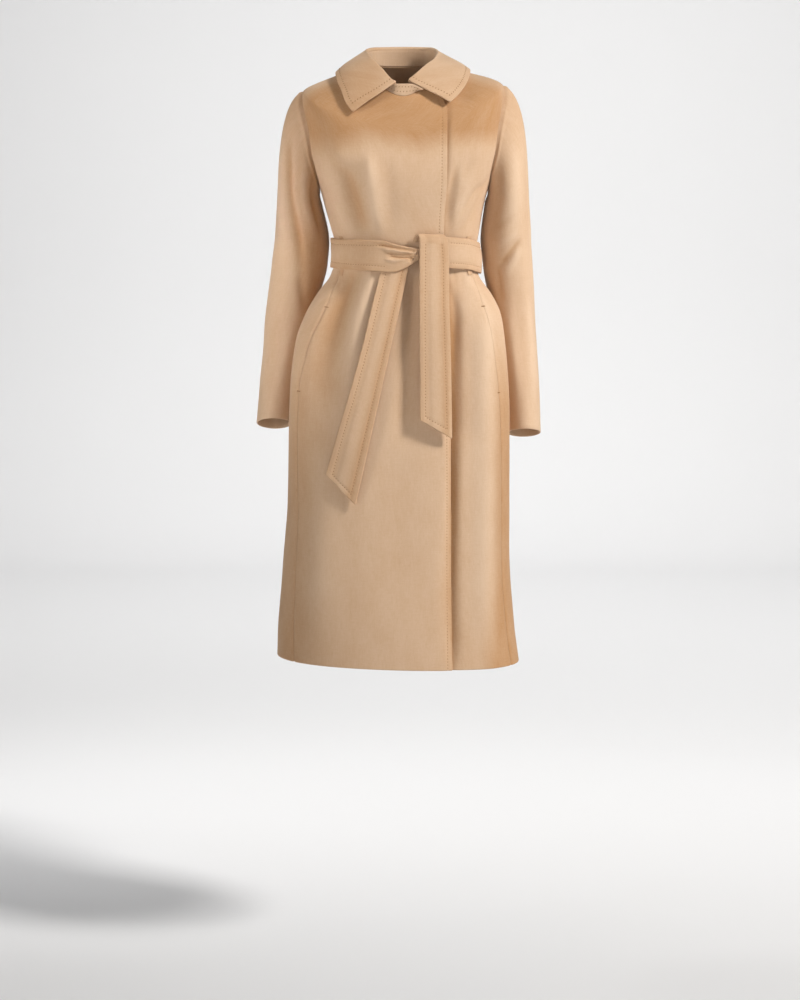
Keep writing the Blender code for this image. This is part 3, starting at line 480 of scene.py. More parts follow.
SLEEVE_RIGHT_CREASES = (
    # charted by turn in degrees / 1000 and height; 0 is the outer side, 90 the front
    Crease((0.047, -0.112), (0.106, -0.400), 0.0085, -0.0062, -0.002, -0.25, 0.4, 0.22, 0.4),
    Crease((0.024, -0.110), (0.056, -0.350), 0.0140, 0.0026),
    Crease((0.096, -0.140), (0.126, -0.330), 0.0105, 0.0036, 0.0, 0.1),
    Crease((0.130, -0.140), (0.142, -0.310), 0.0060, -0.0044, 0.0, -0.2),
    Crease((0.092, -0.360), (0.140, -0.446), 0.0080, -0.0030, 0.003),
    Crease((0.170, -0.200), (0.188, -0.350), 0.0300, 0.0036, 0.0, 0.0, 0.1),
    Crease((0.060, -0.420), (0.066, -0.600), 0.0140, -0.0012, 0.004),
    Crease((0.020, -0.400), (0.030, -0.600), 0.0180, 0.0018),
    Crease((0.100, -0.440), (0.098, -0.600), 0.0120, 0.0016),
    Crease((0.280, -0.180), (0.300, -0.420), 0.0160, -0.0036),
    Crease((0.330, -0.280), (0.285, -0.360), 0.0100, -0.0028),
    Crease((0.240, -0.200), (0.250, -0.400), 0.0140, 0.0026),
)
SLEEVE_LEFT_CREASES = (
    Crease((0.110, -0.145), (0.136, -0.325), 0.0100, -0.0018, 0.004, 0.0, 0.4),
    Crease((0.060, -0.130), (0.094, -0.315), 0.0140, 0.0018),
    Crease((0.030, -0.140), (0.042, -0.330), 0.0130, -0.0012),
    Crease((0.170, -0.200), (0.188, -0.350), 0.0300, 0.0030, 0.0, 0.0, 0.1),
    Crease((0.052, -0.298), (0.120, -0.356), 0.0042, -0.0048, 0.002, 0.2, 0.5, 0.30, 0.3),
    Crease((0.116, -0.342), (0.122, -0.430), 0.0060, -0.0030, 0.0, 0.0, 0.5),
    Crease((0.056, -0.314), (0.112, -0.376), 0.0070, 0.0026, 0.002),
    Crease((0.060, -0.286), (0.126, -0.322), 0.0060, 0.0022, 0.0, 0.0, 0.4),
    Crease((0.074, -0.262), (0.128, -0.290), 0.0050, -0.0018, 0.0, 0.2, 0.5),
    Crease((0.074, -0.345), (0.082, -0.600), 0.0120, -0.0009, 0.003),
    Crease((0.046, -0.390), (0.050, -0.610), 0.0150, 0.0022),
    Crease((0.104, -0.400), (0.104, -0.610), 0.0120, 0.0016),
    Crease((0.272, -0.180), (0.290, -0.420), 0.0160, -0.0036),
    Crease((0.322, -0.270), (0.280, -0.360), 0.0100, -0.0028),
    Crease((0.236, -0.200), (0.246, -0.400), 0.0140, 0.0026),
)

# Creases that run into the knot, by x and height.
BELT_CREASES = (
    Crease((-0.054, -0.3060), (0.022, -0.3240), 0.0020, -0.0040, 0.0016, 0.2, 0.8, 0.35, 0.05),
    Crease((-0.044, -0.3140), (0.024, -0.3265), 0.0034, 0.0030, 0.0010, 0.0, 0.3, 0.35, 0.05),
    Crease((-0.034, -0.3255), (0.016, -0.3300), 0.0018, -0.0030, 0.0014, 0.1, 0.4, 0.30, 0.05),
    Crease((-0.028, -0.3310), (0.018, -0.3350), 0.0020, -0.0038, 0.0020, 0.1, 0.4, 0.30, 0.05),
    Crease((-0.034, -0.3370), (0.014, -0.3400), 0.0034, 0.0022, 0.0020, 0.0, 0.2, 0.30, 0.10),
    Crease((-0.006, -0.3240), (0.024, -0.3300), 0.0016, -0.0022, 0.0004, 0.0, 0.2, 0.30, 0.05),
    Crease((-0.012, -0.3450), (0.014, -0.3400), 0.0018, -0.0020, -0.0010, 0.0, 0.2, 0.30, 0.05),
)


# ---------------------------------------------------------------- nap and painted shade
@dataclass(frozen=True)
class NapAndShadePatch:
    """Part of the cloth drawn deeper, as nap tone with painted shade: its depth, and the ramps
    that bound it.

    A ramp is an axis, where it starts and where it is full.
    """

    depth: float
    ramps: tuple[Ramp, ...]

    def at(self, points: Array) -> Array:
        """How much deeper the patch draws the cloth.

        Args:
            points: points of the cloth.

        Returns:
            The depth, 0 outside the patch.
        """
        value = np.full(points.shape[:-1], self.depth)
        for axis, start, full in self.ramps:
            value = value * ramp(points[..., axis], start, full)
        return value


def nap_and_shade_of(points: Array, resting: float, patches: Sequence[NapAndShadePatch]) -> Array:
    """The resting tone with all its patches of nap and painted shade."""
    return resting + sum(patch.at(points) for patch in patches)


FRONT_HALF = NapAndShadePatch(1.0, ((Y, -0.02, -0.07),))
LOW_SKIRT = NapAndShadePatch(1.0, ((Z, -0.42, -0.62),))
BODY_NAP_AND_SHADE = (
    NapAndShadePatch(0.35, ((Y, -0.07, -0.02), (Z, -0.14, -0.08))),   # shoulder blades
    # painted shade on the skirt's right side
    NapAndShadePatch(0.42, (*LOW_SKIRT.ramps, (X, -0.14, -0.20))),    # right side of the skirt
    # painted shade on the skirt's left side
    NapAndShadePatch(0.95, (*LOW_SKIRT.ramps, (X, 0.125, 0.185))),    # left side of the skirt
    # painted shade, darker towards the hem
    NapAndShadePatch(0.20, ((Z, -0.80, -1.06),)),                     # hem
    NapAndShadePatch(0.16, (*FRONT_HALF.ramps, (X, -0.06, -0.12), (Z, -0.36, -0.42),
                    (Z, -0.95, -0.70))),                      # right hip
)
# These shape the painted shade of the upper chest, which faces up.
CHEST_DROP = NapAndShadePatch(0.030, ((X, -0.04, -0.12),))    # its border runs lower on the right
CHEST_SOFT = NapAndShadePatch(0.025, ((X, -0.02, -0.10),))    # and is softer there
CHEST_LEFT = NapAndShadePatch(0.08, ((X, 0.075, 0.095),))     # it is deeper on the left
CHEST_RIM = NapAndShadePatch(1.0, ((X, -0.06, 0.06),))        # and deeper along its border
# Painted shade in the trough beside the overlapping front's edge.
PAINTED_EDGE_SHADE = NapAndShadePatch(0.60, ((Z, -0.36, -0.39), (Z, -1.06, -0.71)))
# Painted shade on the arm's inner side, next to the body.
PAINTED_INNER_ARM_SHADE = NapAndShadePatch(1.0, ((X, 0.20, 0.16), (Z, -0.10, -0.20)))
# Painted shade on the sleeve's cap, which faces up, and on its hind side.
SLEEVE_PAINTED_SHADE = (
    NapAndShadePatch(0.34, ((Z, -0.18, -0.08),)),                     # cap
    NapAndShadePatch(0.12, ((Y, 0.03, 0.09),)),                       # hind side
)
# Painted highlight where the collar rolls over; the wearer's right wing is drawn deeper.
COLLAR_NAP_AND_HIGHLIGHT = (
    NapAndShadePatch(-0.20, ((Z, -0.02, 0.01),)),                     # where it rolls over
    NapAndShadePatch(0.34, ((X, -0.02, -0.06),)),                     # the right wing
)
BELT_NAP = (
    NapAndShadePatch(0.22, ((X, -0.02, -0.08), (Z, -0.37, -0.36))),   # right of the knot
)


# ---------------------------------------------------------------- the coat's form
class CoatForm:
    """The outside of the coat's body as a function of angle and level."""

    ANGLE_STEP = 0.6
    LEVEL_STEP = 0.0015
    FRONT_FADE = 0.25
    SIDE_DEG = 89.0
    HALVINGS = 26

    def __init__(self) -> None:
        """Read the tables of the torso, its side seams and its front edge."""
        self.torso = Table(TORSO_COLUMNS, TORSO)
        self.seam = Table(("level", "right", "left"), SIDE_SEAM)
        self.edge = Table(("level", "reach"), FRONT_EDGE)

    def section(self, deg: Array, level: Array) -> Array:
        """Points of the smooth form, before any fold.

        Args:
            deg: angles round the body.
            level: levels.

        Returns:
            Points, in the arguments' shape and 3.
        """
        deg, level = np.broadcast_arrays(deg, level)
        read = self.torso.read
        angle = np.radians(deg)
        side, ahead = np.sin(angle), np.cos(angle)
        fill = 1.0 + read("square", level) * np.sin(2.0 * angle) ** 2
        front = ahead > 0.0
        depth = np.where(front, read("front", level), read("back", level))
        middle_z = np.where(front, read("front_z", level), read("back_z", level))
        height = level * side ** 2 + middle_z * ahead ** 2
        hem_share = smooth_step((level - SKIRT_TOP) / (HEM_LEVEL - SKIRT_TOP))
        height = height - HEM_DROP_TO_LEFT * side * hem_share
        half_width = read("half_width", level)
        shoulder = np.where(side > 0.0, LEFT_SHOULDER_RISE, -RIGHT_SHOULDER_DROP)
        shoulder = shoulder * smooth_step((np.abs(half_width * side) - SHOULDER_INNER)
                                          / SHOULDER_SPAN)
        height = height + shoulder * smooth_step((level - SHOULDER_TILT_FOOT)
                                                 / SHOULDER_TILT_SPAN)
        return np.stack((read("centre_x", level) + half_width * fill * side,
                         read("centre_y", level) - depth * fill * ahead,
                         height), axis=-1)

    def normal(self, deg: Array, level: Array) -> Array:
        """Outward directions of the smooth form.

        Args:
            deg: angles round the body.
            level: levels.

        Returns:
            Unit vectors.
        """
        low = np.maximum(level - self.LEVEL_STEP, HEM_LEVEL)
        high = np.minimum(level + self.LEVEL_STEP, NECK_LEVEL)
        around = (self.section(deg + self.ANGLE_STEP, level)
                  - self.section(deg - self.ANGLE_STEP, level))
        upward = self.section(deg, high) - self.section(deg, low)
        normal = np.cross(around, upward)
        return normal / np.linalg.norm(normal, axis=-1, keepdims=True)

    def relief(self, deg: Array, level: Array, place: Array) -> Array:
        """Sum of the folds and creases.

        Args:
            deg: angles round the body.
            level: levels.
            place: the smooth form's points there.

        Returns:
            Metres outward.
        """
        total = np.zeros(np.broadcast(deg, level).shape)
        for fold in BODY_FOLDS:
            total += fold.rise(deg, level)
        ahead = smooth_step(np.cos(np.radians(deg)) / self.FRONT_FADE)
        for crease in FRONT_CREASES:
            total += crease.rise(place[..., 0], place[..., 2]) * ahead
        return total

    def point(self, deg: Array, level: Array, off: Union[float, Array] = 0.0) -> Array:
        """Points of the coat's outside with its folds.

        Args:
            deg: angles round the body.
            level: levels.
            off: distance outward from the cloth's outside.

        Returns:
            Points, in the arguments' shape and 3.
        """
        deg, level = np.broadcast_arrays(deg, level)
        place = self.section(deg, level)
        out = self.relief(deg, level, place) + off
        return place + self.normal(deg, level) * out[..., None]

    def angle_at(self, x: Union[float, Array], level: Array) -> Array:
        """Angles on the front half whose points lie at these x.

        Args:
            x: places to the wearer's left.
            level: levels.

        Returns:
            Angles round the body, found by halving.
        """
        x, level = np.broadcast_arrays(np.asarray(x, float), level)
        low, high = np.full(x.shape, -self.SIDE_DEG), np.full(x.shape, self.SIDE_DEG)
        for _ in range(self.HALVINGS):
            middle = 0.5 * (low + high)
            short = self.section(middle, level)[..., 0] < x
            low, high = np.where(short, middle, low), np.where(short, high, middle)
        return 0.5 * (low + high)

    def edge_angle(self, level: Array) -> Array:
        """Angle of the overlapping front's edge."""
        return self.angle_at(self.edge.read("reach", level), level)

    def degrees_per_metre(self, deg: Array, level: Array) -> Array:
        """How many degrees one metre round the section takes."""
        step = self.section(deg + 0.5, level) - self.section(deg - 0.5, level)
        return 1.0 / np.linalg.norm(step, axis=-1)

    def at_front(self, x: Array, height: Array, off: Union[float, Array]) -> Array:
        """Points in front of the coat, by x and height."""
        return self.point(self.angle_at(x, height), height, off)


# ---------------------------------------------------------------- cloth shells
def cloth_object(name: str, points: Array, faces: Sequence[tuple[int, ...]], chart: Array,
                 nap_and_shade: Array) -> bpy.types.Object:
    """Make the mesh object of a piece of cloth.

    Args:
        name: the object's name.
        points: its points.
        faces: the point numbers of each face.
        chart: the flat place of each point, for the UV map.
        nap_and_shade: how deep the cloth looks at each point, from -1 to 1: the nap's tone with
            painted shade and highlight.

    Returns:
        The object, at the origin.
    """
    mesh = bpy.data.meshes.new(name)
    mesh.from_pydata(points.tolist(), [], faces)
    layer = mesh.uv_layers.new(name="cloth")
    corners = np.empty(len(mesh.loops), dtype=np.int32)
    mesh.loops.foreach_get("vertex_index", corners)
    layer.data.foreach_set("uv", chart[corners].astype(np.float32).ravel())
    depth = mesh.attributes.new("nap_and_shade", "FLOAT", "POINT")
    depth.data.foreach_set("value", np.clip(nap_and_shade, -1.0, 1.0).astype(np.float32))
    body = bmesh.new()
    body.from_mesh(mesh)
    bmesh.ops.remove_doubles(body, verts=body.verts, dist=1e-7)
    loose = [vert for vert in body.verts if not vert.link_faces]
    bmesh.ops.delete(body, geom=loose, context="VERTS")
    bmesh.ops.recalc_face_normals(body, faces=body.faces)
    body.to_mesh(mesh)
    body.free()
    mesh.shade_smooth()
    piece = bpy.data.objects.new(name, mesh)
    bpy.context.collection.objects.link(piece)
    return piece


def sewing_line(outer: Array, face: Array, first: int, inset: int) -> tuple[Array, Array]:
    """Path down one side of a piece, across its foot and up its other side.

    Args:
        outer: the outer points, rows by columns by 3.
        face: their outward directions.
        first: the row where the path starts and ends.
        inset: how many rows or columns in from the border it runs.

    Returns:
        The path's points and the outward directions there.
    """
    foot, right = outer.shape[0] - 1 - inset, outer.shape[1] - 1 - inset
    line = ([(row, inset) for row in range(first, foot)]
            + [(foot, column) for column in range(inset, right)]
            + [(row, right) for row in range(foot, first - 1, -1)])
    rows, columns = np.array(line).T
    return outer[rows, columns], face[rows, columns]


@dataclass(frozen=True)
class Rims:
    """Borders that end in a rounded fold. The others are cut square, at a seam."""

    first_row: bool = False
    last_row: bool = False
    first_column: bool = False
    last_column: bool = False


class ClothShell:
    """Closed thin shell between an outer and an inner grid of points.

    Rows run along the cloth and columns across it.
    """

    ARC_STEPS = 3
    SHARP_DEG = 60.0

    def __init__(self, outer: Array, inner: Array, rims: Rims, nap_and_shade: Array,
                 closed: bool = False) -> None:
        """Lay out the shell's points and faces.

        Args:
            outer: outer points, rows by columns by 3.
            inner: inner points in the same shape.
            rims: which borders are rounded.
            nap_and_shade: how deep the cloth looks at each point of the grid, from -1 to 1: the
                nap's tone with painted shade and highlight.
            closed: whether the columns run all round a tube.
        """
        self.outer, self.inner, self.rims, self.closed = outer, inner, rims, closed
        self.rows, self.columns = outer.shape[:2]
        self.count = self.rows * self.columns
        self.points = [outer.reshape(-1, 3), inner.reshape(-1, 3)]
        self.total = 2 * self.count
        self.faces: list[tuple[int, ...]] = []
        self.index = np.arange(self.count).reshape(self.rows, self.columns)
        self.corner_arcs: dict[int, list[int]] = {}
        self.chart = [self._chart()] * 2
        self.nap_and_shade = [np.broadcast_to(nap_and_shade, outer.shape[:2]).ravel()] * 2
        self._sides()
        self._borders()

    def _chart(self) -> Array:
        """Lay the outer grid flat.

        Returns:
            The flat place of each point, in metres across and along.
        """
        across = np.linalg.norm(np.diff(self.outer, axis=1), axis=2)
        along = np.linalg.norm(np.diff(self.outer, axis=0), axis=2)
        u = np.concatenate((np.zeros((self.rows, 1)), np.cumsum(across, axis=1)), axis=1)
        u = u - u[:, self.columns // 2][:, None]
        v = np.concatenate((np.zeros((1, self.columns)), np.cumsum(along, axis=0)), axis=0)
        v = np.broadcast_to(v.mean(axis=1)[:, None], v.shape)
        return np.stack((u, v), axis=-1).reshape(-1, 2)

    def _sides(self) -> None:
        """Faces of the outer and the inner side."""
        after = np.roll(self.index, -1, axis=1) if self.closed else self.index[:, 1:]
        before = self.index if self.closed else self.index[:, :-1]
        quads = np.stack((before[:-1], after[:-1], after[1:], before[1:]), axis=-1)
        quads = quads.reshape(-1, 4)
        self.faces += [tuple(face) for face in quads.tolist()]
        self.faces += [tuple(face) for face in (quads[:, ::-1] + self.count).tolist()]

    def _borders(self) -> None:
        """Walls along the borders, rounded or square, and the corners between them."""
        grid = self.index
        borders = [(self.rims.first_row, grid[0], grid[1]),
                   (self.rims.last_row, grid[-1], grid[-2])]
        if not self.closed:
            borders += [(self.rims.first_column, grid[:, 0], grid[:, 1]),
                        (self.rims.last_column, grid[:, -1], grid[:, -2])]
        rounded_at: dict[int, list[Array]] = {}
        for rounded, edge, neighbour in borders:
            if rounded and not self.closed:
                outward = self._outward(edge, neighbour)
                for place in (0, -1):
                    rounded_at.setdefault(int(edge[place]), []).append(outward[place])
        for rounded, edge, neighbour in borders:
            self._wall(edge, neighbour, rounded, rounded_at)

    def _outward(self, edge: Array, neighbour: Array) -> Array:
        """Direction past a border, square to the cloth's thickness.

        Args:
            edge: indices of the border's outer points.
            neighbour: the points next to them, further in.

        Returns:
            Unit vectors.
        """
        outer, inner = self.outer.reshape(-1, 3), self.inner.reshape(-1, 3)
        through = inner[edge] - outer[edge]
        through = through / np.linalg.norm(through, axis=1, keepdims=True)
        away = outer[edge] - outer[neighbour]
        away = away - through * (away * through).sum(axis=1, keepdims=True)
        return away / np.maximum(np.linalg.norm(away, axis=1, keepdims=True), 1e-9)

    def _wall(self, edge: Array, neighbour: Array, rounded: bool,
              rounded_at: dict[int, list[Array]]) -> None:
        """One border's wall.

        Args:
            edge: indices of the border's outer points.
            neighbour: the points next to them, further in.
            rounded: whether the border ends in a fold.
            rounded_at: the directions of the rounded borders at each corner point.
        """
        outer, inner = self.outer.reshape(-1, 3), self.inner.reshape(-1, 3)
        rings = [edge.tolist()]
        if rounded:
            outward = self._outward(edge, neighbour)
            shared = {}
            for place in (0, len(edge) - 1):
                found = rounded_at.get(int(edge[place]), [])
                if len(found) == 2:
                    joint = found[0] + found[1]
                    outward[place] = joint / np.linalg.norm(joint)
                    shared[place] = int(edge[place])
            through = inner[edge] - outer[edge]
            radius = 0.5 * np.linalg.norm(through, axis=1, keepdims=True)
            for k in range(1, self.ARC_STEPS + 1):
                angle = math.pi * k / (self.ARC_STEPS + 1)
                arc = (outer[edge] + through * 0.5 * (1.0 - math.cos(angle))
                       + outward * radius * math.sin(angle))
                ids = list(range(self.total, self.total + len(edge)))
                self.points.append(arc)
                self.chart.append(self.chart[0][edge])
                self.nap_and_shade.append(self.nap_and_shade[0][edge])
                self.total += len(edge)
                for place, corner in shared.items():
                    known = self.corner_arcs.setdefault(corner, [])
                    if len(known) < k:
                        known.append(ids[place])
                    ids[place] = known[k - 1]
                rings.append(ids)
        rings.append((edge + self.count).tolist())
        last = len(edge) if self.closed else len(edge) - 1
        for ring, after in zip(rings, rings[1:]):
            for i in range(last):
                j = (i + 1) % len(edge)
                self.faces.append((ring[i], ring[j], after[j], after[i]))
        if rounded and not self.closed:
            for place in (0, len(edge) - 1):
                if len(rounded_at.get(int(edge[place]), [])) == 1:
                    self.faces.append(tuple(ring[place] for ring in rings))

    def build(self, name: str) -> bpy.types.Object:
        """Make the mesh object.

        Args:
            name: the object's name.

        Returns:
            The object, at the origin, with a chart of the cloth as its UV map.
        """
        piece = cloth_object(name, np.concatenate(self.points), self.faces,
                             np.concatenate(self.chart), np.concatenate(self.nap_and_shade))
        piece.data.set_sharp_from_angle(angle=math.radians(self.SHARP_DEG))
        return piece


def grid_normals(grid: Array, closed: bool = False) -> Array:
    """Unit normals of a grid of points.

    Args:
        grid: rows by columns by 3.
        closed: whether the columns run all round.

    Returns:
        Normals in the same shape, across times along.
    """
    along = np.gradient(grid, axis=0)
    if closed:
        across = 0.5 * (np.roll(grid, -1, axis=1) - np.roll(grid, 1, axis=1))
    else:
        across = np.gradient(grid, axis=1)
    normal = np.cross(across, along)
    return normal / np.maximum(np.linalg.norm(normal, axis=2, keepdims=True), 1e-12)


# ---------------------------------------------------------------- shader maths
class Graph:
    """A material's node tree."""

    def __init__(self, name: str) -> None:
        """Start an empty material."""
        self.material = bpy.data.materials.new(name)
        self.material.use_nodes = True
        self.tree = self.material.node_tree
        self.tree.nodes.clear()

    def node(self, kind: str, settings: Optional[dict[str, Any]] = None,
             inputs: Optional[dict[Union[str, int], Any]] = None) -> bpy.types.Node:
        """Add a node.

        Args:
            kind: the node's type.
            settings: properties, set before the sockets.
            inputs: a value or a link for each named or numbered socket.

        Returns:
            The node.
        """
        node = self.tree.nodes.new(kind)
        for key, value in (settings or {}).items():
            setattr(node, key, value)
        for key, value in (inputs or {}).items():
            socket = node.inputs[key]
            if isinstance(value, Field):
                self.tree.links.new(value.socket, socket)
            elif isinstance(value, bpy.types.NodeSocket):
                self.tree.links.new(value, socket)
            else:
                socket.default_value = value
        return node

    def noise(self, vector: bpy.types.NodeSocket, stretch: Colour, detail: float,
              roughness: float = 0.5) -> "Field":
        """Add noise.

        Args:
            vector: where it is read.
            stretch: the size of its grain along each axis, in metres.
            detail: its octaves.
            roughness: how strong the finer ones are.

        Returns:
            Values between 0 and 1.
        """
        scale = tuple(1.0 / size for size in stretch)
        mapping = self.node("ShaderNodeMapping", {}, {"Vector": vector, "Scale": scale})
        made = self.node("ShaderNodeTexNoise", {}, {
            "Vector": mapping.outputs["Vector"], "Scale": 1.0, "Detail": detail,
            "Roughness": roughness})
        return Field(self, made.outputs["Fac"])

    def mix(self, share: "Field", low: Any, high: Any) -> bpy.types.NodeSocket:
        """Mix two colours.

        Args:
            share: 0 for the first, 1 for the second.
            low: the first.
            high: the second.

        Returns:
            The mixed colour's socket.
        """
        made = self.node("ShaderNodeMix", {"data_type": "RGBA"},
                         {0: share, 6: low, 7: high})
        return made.outputs[2]


class Field:
    """A shader value that arithmetic turns into Math nodes."""

    def __init__(self, graph: Graph, socket: bpy.types.NodeSocket) -> None:
        """Wrap a socket of a graph."""
        self.graph, self.socket = graph, socket

    def _math(self, operation: str, first: Any, second: Any) -> "Field":
        """A Math node on two values."""
        node = self.graph.node("ShaderNodeMath", {"operation": operation},
                               {0: first, 1: second})
        return Field(self.graph, node.outputs[0])

    def __add__(self, other: Any) -> "Field":
        """Sum."""
        return self._math("ADD", self, other)

    __radd__ = __add__

    def __mul__(self, other: Any) -> "Field":
        """Product."""
        return self._math("MULTIPLY", self, other)

    __rmul__ = __mul__

    def __sub__(self, other: Any) -> "Field":
        """Difference."""
        return self._math("SUBTRACT", self, other)

    def __rsub__(self, other: Any) -> "Field":
        """Difference from a number."""
        return self._math("SUBTRACT", other, self)

    def clamp(self) -> "Field":
        """Held between 0 and 1."""
        return self._math("MINIMUM", self._math("MAXIMUM", self, 0.0), 1.0)


# ---------------------------------------------------------------- finishes
@dataclass(frozen=True)
class WoolFinish:
    """Brushed wool: short fibres that lie along the cloth, with a soft sheen."""

    name: str
    light: Colour = (0.662, 0.474, 0.324)
    # deep is the colour that painted shade and the nap's tone pull towards.
    deep: Colour = (0.430, 0.222, 0.092)
    resting: float = 0.76
    nap_and_shade_share: float = 0.62
    brushing: float = 0.34
    weave_tone: float = 0.24
    fibre_tone: float = 0.30
    roughness: float = 0.86
    sheen: float = 0.22
    relief: float = 0.00030

    def material(self) -> bpy.types.Material:
        """Build the wool.

        Returns:
            A material that reads the piece's UV map and its nap_and_shade attribute: the nap's
            tone with painted shade and highlight.
        """
        graph = Graph(self.name)
        place = graph.node("ShaderNodeUVMap", {"uv_map": "cloth"}).outputs["UV"]
        nap_and_shade = Field(graph, graph.node("ShaderNodeAttribute", {"attribute_name": "nap_and_shade"})
                    .outputs["Fac"])
        brushed = graph.noise(place, (0.034, 0.085, 1.0), 3.0)
        strokes = graph.noise(place, (0.0045, 0.028, 1.0), 2.0)
        fibre = graph.noise(place, (0.0009, 0.0048, 1.0), 3.0, 0.6)
        felt = graph.noise(place, (0.0013, 0.0016, 1.0), 4.0, 0.65)
        weft = graph.noise(place, (0.016, 0.0016, 1.0), 2.0)
        warp = graph.noise(place, (0.0018, 0.013, 1.0), 2.0)
        # The attribute pulls the colour towards deep: painted shade in troughs, recesses and
        # faces turned from the light, painted highlight on crests.
        share = (self.resting - nap_and_shade * self.nap_and_shade_share
                 + (brushed - 0.5) * self.brushing
                 + (strokes - 0.5) * (0.5 * self.brushing)
                 + (fibre - 0.5) * self.fibre_tone
                 + (weft + warp - 1.0) * self.weave_tone
                 + (felt - 0.5) * (0.5 * self.fibre_tone)).clamp()
        colour = graph.mix(share, (*self.deep, 1.0), (*self.light, 1.0))
        rough = self.roughness + (felt - 0.5) * 0.12
        bump = graph.node("ShaderNodeBump", {}, {
            "Strength": 0.55, "Distance": self.relief,
            "Height": fibre * 0.6 + felt * 0.8})
        shader = graph.node("ShaderNodeBsdfPrincipled", {}, {
            "Base Color": colour, "Roughness": rough, "Normal": bump.outputs["Normal"],
            "Sheen Weight": self.sheen, "Sheen Roughness": 0.45,
            "Sheen Tint": (1.0, 0.90, 0.76, 1.0), "Specular IOR Level": 0.22})
        graph.node("ShaderNodeOutputMaterial", {}, {"Surface": shader.outputs["BSDF"]})
        graph.material.diffuse_color = (*self.light, 1.0)
        return graph.material


@dataclass(frozen=True)
class ThreadFinish:
    """Matt sewing thread sunk into the cloth, drawn dark brown: the thread's tone with painted
    shade of the dimple it sits in.
    """

    name: str
    colour: Colour = (0.250, 0.135, 0.055)
    roughness: float = 0.75

    def material(self) -> bpy.types.Material:
        """Build the thread.

        Returns:
            The material.
        """
        graph = Graph(self.name)
        place = graph.node("ShaderNodeTexCoord").outputs["Object"]
        grain = graph.noise(place, (0.0006, 0.0006, 0.0006), 2.0)
        lighter = tuple(min(1.0, 1.5 * part) for part in self.colour)
        colour = graph.mix(grain.clamp(), (*self.colour, 1.0), (*lighter, 1.0))
        shader = graph.node("ShaderNodeBsdfPrincipled", {}, {
            "Base Color": colour, "Roughness": self.roughness, "Specular IOR Level": 0.2})
        graph.node("ShaderNodeOutputMaterial", {}, {"Surface": shader.outputs["BSDF"]})
        return graph.material


@dataclass(frozen=True)
class PaperFinish:
    """Seamless pale studio paper."""

    name: str
    colour: Colour = (0.80, 0.80, 0.805)

    def material(self) -> bpy.types.Material:
        """Build the paper.

        Returns:
            The material.
        """
        graph = Graph(self.name)
        place = graph.node("ShaderNodeTexCoord").outputs["Object"]
        cloud = graph.noise(place, (0.9, 0.9, 0.9), 1.0)
        darker = tuple(0.985 * part for part in self.colour)
        colour = graph.mix(cloud.clamp(), (*darker, 1.0), (*self.colour, 1.0))
        shader = graph.node("ShaderNodeBsdfPrincipled", {}, {
            "Base Color": colour, "Roughness": 0.9, "Specular IOR Level": 0.1})
        graph.node("ShaderNodeOutputMaterial", {}, {"Surface": shader.outputs["BSDF"]})
        return graph.material


# ---------------------------------------------------------------- stitches
class StitchKind(Enum):
    """Kinds of hand sewing on the coat: length, width, height and slant in degrees."""

    PICK = (0.0030, 0.0019, 0.0012, 24.0)
    SLANTED = (0.0040, 0.0020, 0.0013, 58.0)
    TACK = (0.0020, 0.0010, 0.0010, 90.0)
    FAINT = (0.0034, 0.0020, 0.0006, 70.0)


